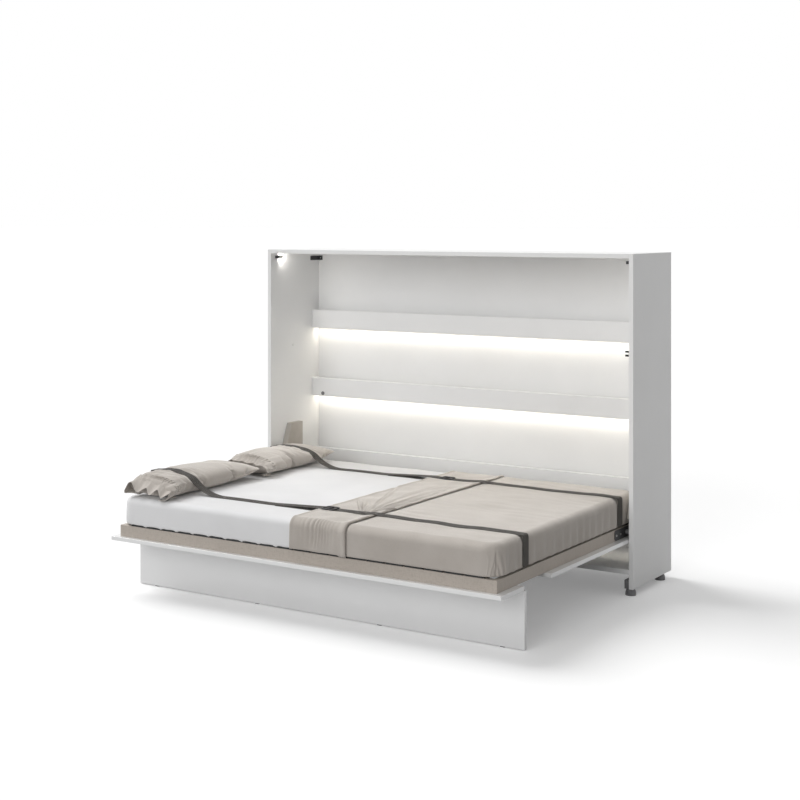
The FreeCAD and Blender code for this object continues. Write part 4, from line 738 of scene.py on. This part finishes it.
p = np.linspace(BAND_START, BAND_EDGE - 0.0006, int((BAND_EDGE - BAND_START) / BAND_STEP))
q = np.linspace(q_front, q_rear, int((q_rear - q_front) / BAND_STEP))
p, q = np.meshgrid(p, q, indexing="ij")
inner = SHEET_GAP + OVER_TUCK * smooth(p, BAND_EDGE - TUCKED - 0.022, BAND_EDGE - TUCKED - 0.004)
band = quilt("duvet_turned_down", p, q, np.maximum(band_lift(p, q), inner + BAND_LEAST), inner)
band.data.materials.append(cotton.material)
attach(band, "bed")
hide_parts("duvet_band")

# ---------------- pillows
# Two down pillows in beige cases, end to end at the bed's head. A case is a tube of cotton: it is full in the
# middle, puckers along its seams and ends in a flat mouth, which is gathered and flares on the front one.
PILLOW_FRAMES = 28
FILLING = {"quality": 6, "mass": 0.2, "tension_stiffness": 14, "compression_stiffness": 6, "shear_stiffness": 6,
           "bending_stiffness": 0.25, "use_pressure": True, "uniform_pressure_force": 9.0, "shrink_min": -0.03}
PILLOW_STEP = 0.0072
BLANK_LONG, BLANK_WIDE, BLANK_THICK = 1.06, 1.18, 0.03
NOSE = 0.30
BLUNT_NOSE = 0.10
FLATTEN, FLATTEN_RATE = 0.42, 2.2
LEAN = -0.062
TAPER = 0.045
SOFT_STOP = 0.012
GROOVE_WIDE, GROOVE_DEEP = 0.032, 0.005
STRAP_PUCKERS, PUCKER_HIGH = (0.06, 41, 0.4), 0.0022
PILLOW_HILLS, PILLOW_HILL_HIGH = (0.17, 43), 0.0014
DRAWN_HIGH, DRAWN_WAVES = 0.0026, 27
RUCHE_DEEP, RUCHE_HIGH = 0.030, 0.0062
RUCHED = 0.4  # the share of the mouth's cloth that is ruched
MOUTH_RISE, MOUTH_SNUG = 0.004, 0.022
SEAM_IN = 0.024
CLOTH_THICK = 0.0032
RAYS, MOUTH_RINGS = 190, 30
ROUNDING = 1
MOUTHS = {  # how far the mouth reaches out, its flutes and their height, its droop, the ruched folds
    "front": (0.034, 4.5, 0.013, 0.62, 30),
    "rear": (0.016, 5.0, 0.0012, 0.25, 26),
}


def pillow_blank(length, width, thick, step):
    """A flat closed bag: two grids joined at their rim, its corners cut round and its middle thicker.

    Height is half of thick times the root of (1 - along ** 4) * (1 - across ** 4), so the rim is an edge.
    """
    rows, columns = int(length / step), int(width / step)
    along, across = np.meshgrid(np.linspace(-1, 1, rows), np.linspace(-1, 1, columns), indexing="ij")
    x = across * width / 2 * (1 - 0.10 * np.abs(along) ** 8)
    y = along * length / 2 * (1 - 0.06 * np.abs(across) ** 6)
    rise = thick / 2 * np.sqrt(np.clip((1 - along ** 4) * (1 - across ** 4), 0, 1))
    return np.stack([np.stack([x, y, z], -1) for z in (rise, -rise)]), two_layers(rows, columns)[1]


def inflate(bag):
    """Blow the bag up as cloth under pressure, without gravity, and keep the shape it takes."""
    cloth = bag.modifiers.new("fill", "CLOTH")
    for key, value in FILLING.items():
        setattr(cloth.settings, key, value)
    cloth.settings.effector_weights.gravity = 0
    cloth.collision_settings.use_self_collision = False
    cloth.point_cache.frame_start = 1
    cloth.point_cache.frame_end = PILLOW_FRAMES
    for step in range(1, PILLOW_FRAMES + 1):
        scene.frame_set(step)
    blown = bpy.data.meshes.new_from_object(bag.evaluated_get(bpy.context.evaluated_depsgraph_get()))
    bag.modifiers.clear()
    bag.data = blown
    scene.frame_set(1)


def read_points(piece):
    """The piece's vertices as an array."""
    points = np.zeros(len(piece.data.vertices) * 3)
    piece.data.vertices.foreach_get("co", points)
    return points.reshape(-1, 3)


def move_points(piece, points):
    """Put the piece's vertices where the array says."""
    piece.data.vertices.foreach_set("co", points.ravel())
    piece.data.update()


def surface_tree(piece):
    """A search tree over the finished shape of a piece."""
    return BVHTree.FromObject(piece, bpy.context.evaluated_depsgraph_get())


def fit_pillow(bag, low, high):
    """Set the blown bag between two corners: flat where it lies on the sheet, its crown a little to one side.

    Its near end is made blunt: the first NOSE of its length is drawn together into BLUNT_NOSE. It is kept
    off the cabinet's side board: x is softly held above its lower limit, s * log(1 + exp(x / s)).
    """
    points = read_points(bag)
    least, most = points.min(0), points.max(0)
    share = (points - least) / (most - least)
    share[:, 1] = np.interp(share[:, 1], (0, NOSE * 0.5, NOSE, 1), (0, BLUNT_NOSE * 0.34, BLUNT_NOSE, 1))
    sunk = 0.5 - FLATTEN * (1 - np.exp(-FLATTEN_RATE * (0.5 - share[:, 2]))) / (1 - math.exp(-FLATTEN_RATE / 2))
    share[:, 2] = np.where(share[:, 2] < 0.5, sunk, share[:, 2])
    share[:, 2] = (share[:, 2] - share[:, 2].min()) / (1 - share[:, 2].min())
    placed = low + share * (high - low)
    placed[:, 0] += LEAN * (share[:, 2] ** 2) * 4 * share[:, 0] * (1 - share[:, 0])
    placed[:, 0] -= TAPER * smooth(share[:, 1], 0.55, 1.0)
    past = np.clip((placed[:, 0] - low[0]) / SOFT_STOP, -40, 40)
    placed[:, 0] = np.where(past < 30, low[0] + SOFT_STOP * np.log1p(np.exp(past)), placed[:, 0])
    move_points(bag, placed)


def strap_groove(piece, y):
    """Press a strap into the upper half of a pillow: a smooth hollow across it."""
    points = read_points(piece)
    least, most = points[:, 2].min(), points[:, 2].max()
    upper = smooth((points[:, 2] - least) / (most - least), 0.2, 0.75)
    points[:, 2] -= GROOVE_DEEP * upper * hump(np.abs(points[:, 1] - y), GROOVE_WIDE, 3)
    move_points(piece, points)


def pucker(bag, middle_x, start_y, strap_y, top):
    """Small folds on a pillow's upper side: beside its strap, all over, and drawn from its near end."""
    points = read_points(bag)
    x, y, z = points.T.copy()
    around = np.arctan2(z - TOP, x - middle_x)
    drawn = np.exp(-(y - start_y - 0.02) / 0.07)
    z += smooth(z - TOP, 0.01, 0.05) * (
        PUCKER_HIGH * hump(y - strap_y, 0.09) * ripples(x, y, *STRAP_PUCKERS)
        + PILLOW_HILL_HIGH * ripples(x, y, *PILLOW_HILLS)
        + DRAWN_HIGH * drawn * np.sin(around * DRAWN_WAVES + 1.5 * np.sin(around * 5)))
    points[:, 2] = np.minimum(z, top)
    move_points(bag, points)


def pillow_mouth(name, bag, low, high, seam_y, reach_out, flutes, flute_high, droop, folds):
    """A double cloth round a pillow's near end: ruched folds on the body, then a hem that droops in flutes.

    Its outline is where rays towards the pillow's middle first meet the body.
    """
    body = surface_tree(bag)
    middle_x = (low[0] + high[0]) / 2
    turns = np.linspace(math.pi, 0, RAYS)
    centre = Vector((middle_x, seam_y + RUCHE_DEEP * 0.6, TOP + MOUTH_RISE))
    radius = []
    for turn in turns:
        way = Vector((math.cos(turn), 0, math.sin(turn) + 0.02)).normalized()
        hit = body.ray_cast(centre + way * 0.6, -way)[0]
        radius.append((hit - centre).length if hit else 0.1)
    along, turn = np.meshgrid(np.linspace(0, 1, MOUTH_RINGS), turns, indexing="ij")
    out_share = np.clip((along - RUCHED) / (1 - RUCHED), 0, 1)
    share = 1 - turn / math.pi
    fall = (droop - 0.6 * droop * smooth(turn, 1.9, 2.8)) * out_share ** 0.8
    wave = np.cos(share * math.tau * flutes + 0.8 * np.sin(share * 7))
    ruche = RUCHE_HIGH * np.abs(np.sin(share * math.pi * folds + 1.1 * np.sin(share * 13))) * (
        smooth(along, 0, 0.12) * (1 - smooth(along, 0.35, 0.7)))
    y = seam_y + RUCHE_DEEP * (1 - np.clip(along / RUCHED, 0, 1)) - out_share * (reach_out + MOUTH_SNUG) * (
        1 - 0.16 * wave * out_share)
    y = np.maximum(y, low[1] - 0.007)
    sheets = []
    for inward, rise in ((0, 0.0009 + 0.0026), (CLOTH_THICK, 0.0009)):
        size = np.array(radius) * (1.0 - 0.05 * smooth(along, 0.1, 0.4)) + 0.0022 + ruche - inward
        x = middle_x + size * np.cos(turn) * (1 + 0.03 * out_share)
        z = TOP + MOUTH_RISE + size * np.sin(turn) * (1 - fall) + flute_high * wave * out_share
        sheets.append(np.stack([np.clip(x, low[0], high[0] + 0.004), y,
                                np.clip(z, TOP + rise, high[2] + 0.003)], -1))
    index, faces = two_layers(*along.shape)
    loop = rim_of(index)
    step_on = np.roll(loop, -1)
    rim = np.stack([loop, step_on, step_on + index.size, loop + index.size], -1)
    flange = new_piece(name, np.stack(sheets), np.concatenate([faces, rim]).tolist())
    close_up(flange)
    return flange


def join(piece, other):
    """Make the other piece part of the first one."""
    bpy.ops.object.select_all(action="DESELECT")
    other.select_set(True)
    piece.select_set(True)
    bpy.context.view_layer.objects.active = piece
    bpy.ops.object.join()


pillows = {}
for end, (reach_out, *mouth) in MOUTHS.items():
    low, high = corners_of(f"pillow_{end}")
    start_y = low[1] + reach_out
    points, faces = pillow_blank((high[1] - start_y) * BLANK_LONG, (high[0] - low[0]) * BLANK_WIDE, BLANK_THICK,
                                 PILLOW_STEP)
    bag = new_piece(f"pillow_{end}_case", points, faces.tolist())
    close_up(bag, weld=1e-6)
    inflate(bag)
    fit_pillow(bag, np.array([low[0], start_y, low[2] + 0.0006]), high)
    strap_groove(bag, STRAP_Y[end])
    pucker(bag, (low[0] + high[0]) / 2, start_y, STRAP_Y[end], high[2])
    flange = pillow_mouth(f"pillow_{end}_mouth", bag, low, high, start_y + SEAM_IN, reach_out, *mouth)
    for piece in (bag, flange):
        # the cloth is the piece's own metres seen from above, with its height added across
        x, y, z = read_points(piece).T
        lay_cloth(piece, np.stack([x + z, y], -1))
        piece.data.materials.clear()
        piece.data.materials.append(cotton.material)
    join(bag, flange)
    rounding = bag.modifiers.new("rounding", "SUBSURF")
    rounding.levels = rounding.render_levels = ROUNDING
    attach(bag, "bed")
    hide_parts(f"pillow_{end}")
    pillows[end] = bag

# ---------------- holding straps
# Two dark woven straps, 50 mm wide, run along the bed: from the left end over a pillow, along the sheet, the
# band and the duvet, and down the right end. They are drawn tight, so they bridge the hollows.
STRAP_THICK = 0.0018
STRAP_STEP = 0.004
STRAP_BRIDGE = 0.24
STRAP_TAUT = 1.2
STRAP_SIDES = 20
STRAP_ON = 0.0006
END_IN, END_DOWN = 0.0026, 0.004
SPLIT = 0.27
CLIMB_END, CLIMB_HIGH = 0.02, 0.0015
SPARE_FROM, SPARE_SHIFT, SPARE_WIDE, SPARE_ON = 0.03, 0.006, 0.96, 0.0004
RUN_IN, TAUT_OVER, END_BEND = 0.0030, 0.1, 0.01
SMOOTH_SPAN = 7
RUN_STEP = 0.003


def heights(trees, xs, y):
    """The highest surface over each place on a line along X, met from above."""
    found = np.zeros(len(xs))
    for count, x in enumerate(xs):
        hits = [tree.ray_cast(Vector((x, y, 1)), Vector((0, 0, -1)))[0] for tree in trees]
        found[count] = max((hit.z for hit in hits if hit), default=BOTTOM)
    return found


def bridged(profile, radius, step):
    """A profile with its hollows bridged: rolled over by a circle of that radius from above."""
    reach = int(radius / step)
    offsets = np.arange(-reach, reach + 1)
    cap = np.sqrt(np.maximum(radius ** 2 - (offsets * step) ** 2, 0))[:, None]

    def shifted(line):
        line = np.pad(line, reach, mode="edge")
        return np.stack([line[reach + o:reach + o + len(profile)] for o in offsets])

    return (shifted((shifted(profile) + cap).max(0)) - cap).min(0)


def even_run(line_x, line_z):
    """The line walked in even steps, its corners rounded by a sliding weighted mean."""
    run = np.concatenate([[0], np.cumsum(np.hypot(np.diff(line_x), np.diff(line_z)))])
    even = np.arange(0, run[-1], RUN_STEP)
    path = np.stack([np.interp(even, run, line_x), np.interp(even, run, line_z)], -1)
    kernel = np.hanning(SMOOTH_SPAN + 2)[1:-1]
    kernel /= kernel.sum()
    for axis in (0, 1):
        edge_padded = np.pad(path[:, axis], SMOOTH_SPAN // 2, mode="edge")
        path[:, axis] = np.convolve(edge_padded, kernel, mode="valid")
    return path


def ribbon(name, path, y, half):
    """A closed strip of webbing along a path in X and Z: a flat oval section, STRAP_THICK deep."""
    way = np.gradient(path, axis=0)
    way /= np.linalg.norm(way, axis=1)[:, None]
    out = np.stack([-way[:, 1], way[:, 0]], -1)
    around = np.linspace(0, math.tau, STRAP_SIDES, endpoint=False)
    section_y = half * np.sign(np.cos(around)) * np.abs(np.cos(around)) ** 0.35
    section_out = STRAP_THICK / 2 * (1 + np.sin(around) / np.maximum(np.abs(np.sin(around)), 0.3) * 0.98)
    shape = (len(path), STRAP_SIDES)
    points = np.stack([path[:, :1] + out[:, :1] * section_out, np.broadcast_to(y + section_y, shape),
                       path[:, 1:] + out[:, 1:] * section_out], -1)
    strip = new_piece(name, points, grid(*shape, wrap=(0, 1))[1].tolist())
    lay_cloth(strip, np.stack(np.broadcast_arrays(np.arange(len(path))[:, None] * RUN_STEP, section_y), -1))
    close_up(strip, cap=STRAP_SIDES)
    strip.data.materials.append(webbing.material)
    return strip


webbing = Finish("strap_webbing", Roughness=0.8, Specular_IOR_Level=0.25, Sheen_Weight=0.2, Sheen_Roughness=0.4)
weave = webbing.summed(webbing.waves(0.0024, "X", 0.4, by_cloth=True),
                       webbing.waves(0.0011, "Y", 0.6, by_cloth=True))
webbing.colour(weave, (0.022, 0.019, 0.016), (0.085, 0.076, 0.065), 0.4, 1.6)
webbing.tint((0.03, 3), (0.85, 0.85, 0.85), (1, 1, 1))
webbing.relief(weave, 0.0004)

supports = [surface_tree(piece) for piece in (mattress, duvet, band)]
strap_lines = {}
for end, (low, high) in strap_boxes.items():
    trees = supports + [surface_tree(pillows[end])]
    half = (high[1] - low[1]) / 2
    xs = np.arange(low[0] + RUN_IN, high[0] - RUN_IN, STRAP_STEP)
    rows = np.stack([heights(trees, xs, STRAP_Y[end] + shift) for shift in (-0.7 * half, 0, 0.7 * half)])
    support = np.maximum(np.sort(rows, axis=0)[1:].mean(0), rows.mean(0)) + STRAP_ON
    near_line = bridged(support, STRAP_BRIDGE, STRAP_STEP)
    taut_line = bridged(support, STRAP_TAUT, STRAP_STEP)
    split_x = BAND_START - SPLIT
    profile = near_line + (taut_line - near_line) * smooth(xs, split_x, split_x + TAUT_OVER)
    # the upper strand leaves the sheet at the split and climbs evenly to its slide
    climb_x = (split_x, BAND_START + CLIMB_END)
    climb_z = (np.interp(split_x, xs, profile), np.interp(climb_x[1], xs, profile) + CLIMB_HIGH)
    profile = np.maximum(profile, np.interp(xs, climb_x, climb_z, -1, -1))
    path = even_run(np.concatenate([[low[0] + END_IN] * 2, xs, [high[0] - END_IN] * 2]),
                    np.concatenate([[BOTTOM + END_DOWN, profile[0] - END_BEND], profile,
                                    [profile[-1] - END_BEND, BOTTOM + END_DOWN]]))
    strap_lines[end] = path
    strap = ribbon(f"holding_strap_{end}", path, STRAP_Y[end], half)
    # the lower strand is the strap's spare end: it lies on the sheet up to the band
    xs = np.arange(split_x + SPARE_FROM, BAND_START - 0.001, STRAP_STEP)
    spare_path = even_run(xs, heights(supports[:1], xs, STRAP_Y[end]) + SPARE_ON)
    join(strap, ribbon(f"strap_end_{end}", spare_path, STRAP_Y[end] - SPARE_SHIFT, half * SPARE_WIDE))
    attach(strap, "bed")
    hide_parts(f"strap_{end}")

# ---------------- strap buckles
# Each strap is joined by a black three-bar slide: a rounded frame with a middle bar, through which the
# strap's end is threaded back.
BUCKLE_LONG = 0.062
BUCKLE_WIDE = 0.056
BUCKLE_CORNER = 0.008
BUCKLE_BAR = 0.0026
BUCKLE_SIDES = 10
BUCKLE_AT = {"front": 0.017, "rear": 0.062}  # how far from the band's left edge
MIDDLE_BAR = 0.12


def bar_loop(length, width, corner, radius):
    """A round bar bent to a rounded rectangle: a circle carried along four quarter turns joined by straights."""
    turns = np.linspace(0, math.pi / 2, 7)
    outline = []
    for quarter, (sx, sy) in enumerate(((1, 1), (-1, 1), (-1, -1), (1, -1))):
        middle = np.array([sx * (length / 2 - corner), sy * (width / 2 - corner)])
        angle = turns + quarter * math.pi / 2
        outline.append(middle + corner * np.stack([np.cos(angle), np.sin(angle)], -1))
    outline = np.concatenate(outline)
    ahead = np.roll(outline, -1, axis=0) - np.roll(outline, 1, axis=0)
    ahead /= np.linalg.norm(ahead, axis=1)[:, None]
    around = np.linspace(0, math.tau, BUCKLE_SIDES, endpoint=False)
    shape = (len(outline), BUCKLE_SIDES)
    points = np.stack([outline[:, :1] + ahead[:, 1:] * radius * np.cos(around),
                       outline[:, 1:] - ahead[:, :1] * radius * np.cos(around),
                       np.broadcast_to(radius * np.sin(around), shape)], -1)
    return points.reshape(-1, 3), grid(*shape, wrap=(1, 1))[1]


loop_points, loop_faces = bar_loop(BUCKLE_LONG, BUCKLE_WIDE, BUCKLE_CORNER, BUCKLE_BAR)
buckle_points = []
for end, offset in BUCKLE_AT.items():
    x = BAND_START + offset + BUCKLE_LONG / 2
    z = np.interp(x, *strap_lines[end].T) + STRAP_THICK + BUCKLE_BAR
    for narrow in (1, MIDDLE_BAR):
        buckle_points.append(loop_points * (narrow, 1, 1) + (x, STRAP_Y[end], z))
buckle_faces = [loop_faces + count * len(loop_points) for count in range(len(buckle_points))]
slides = new_piece("strap_slides", np.concatenate(buckle_points), np.concatenate(buckle_faces).tolist())
close_up(slides)
slides.data.materials.append(black_plastic.material)
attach(slides, "bed")
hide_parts("strap_buckles")
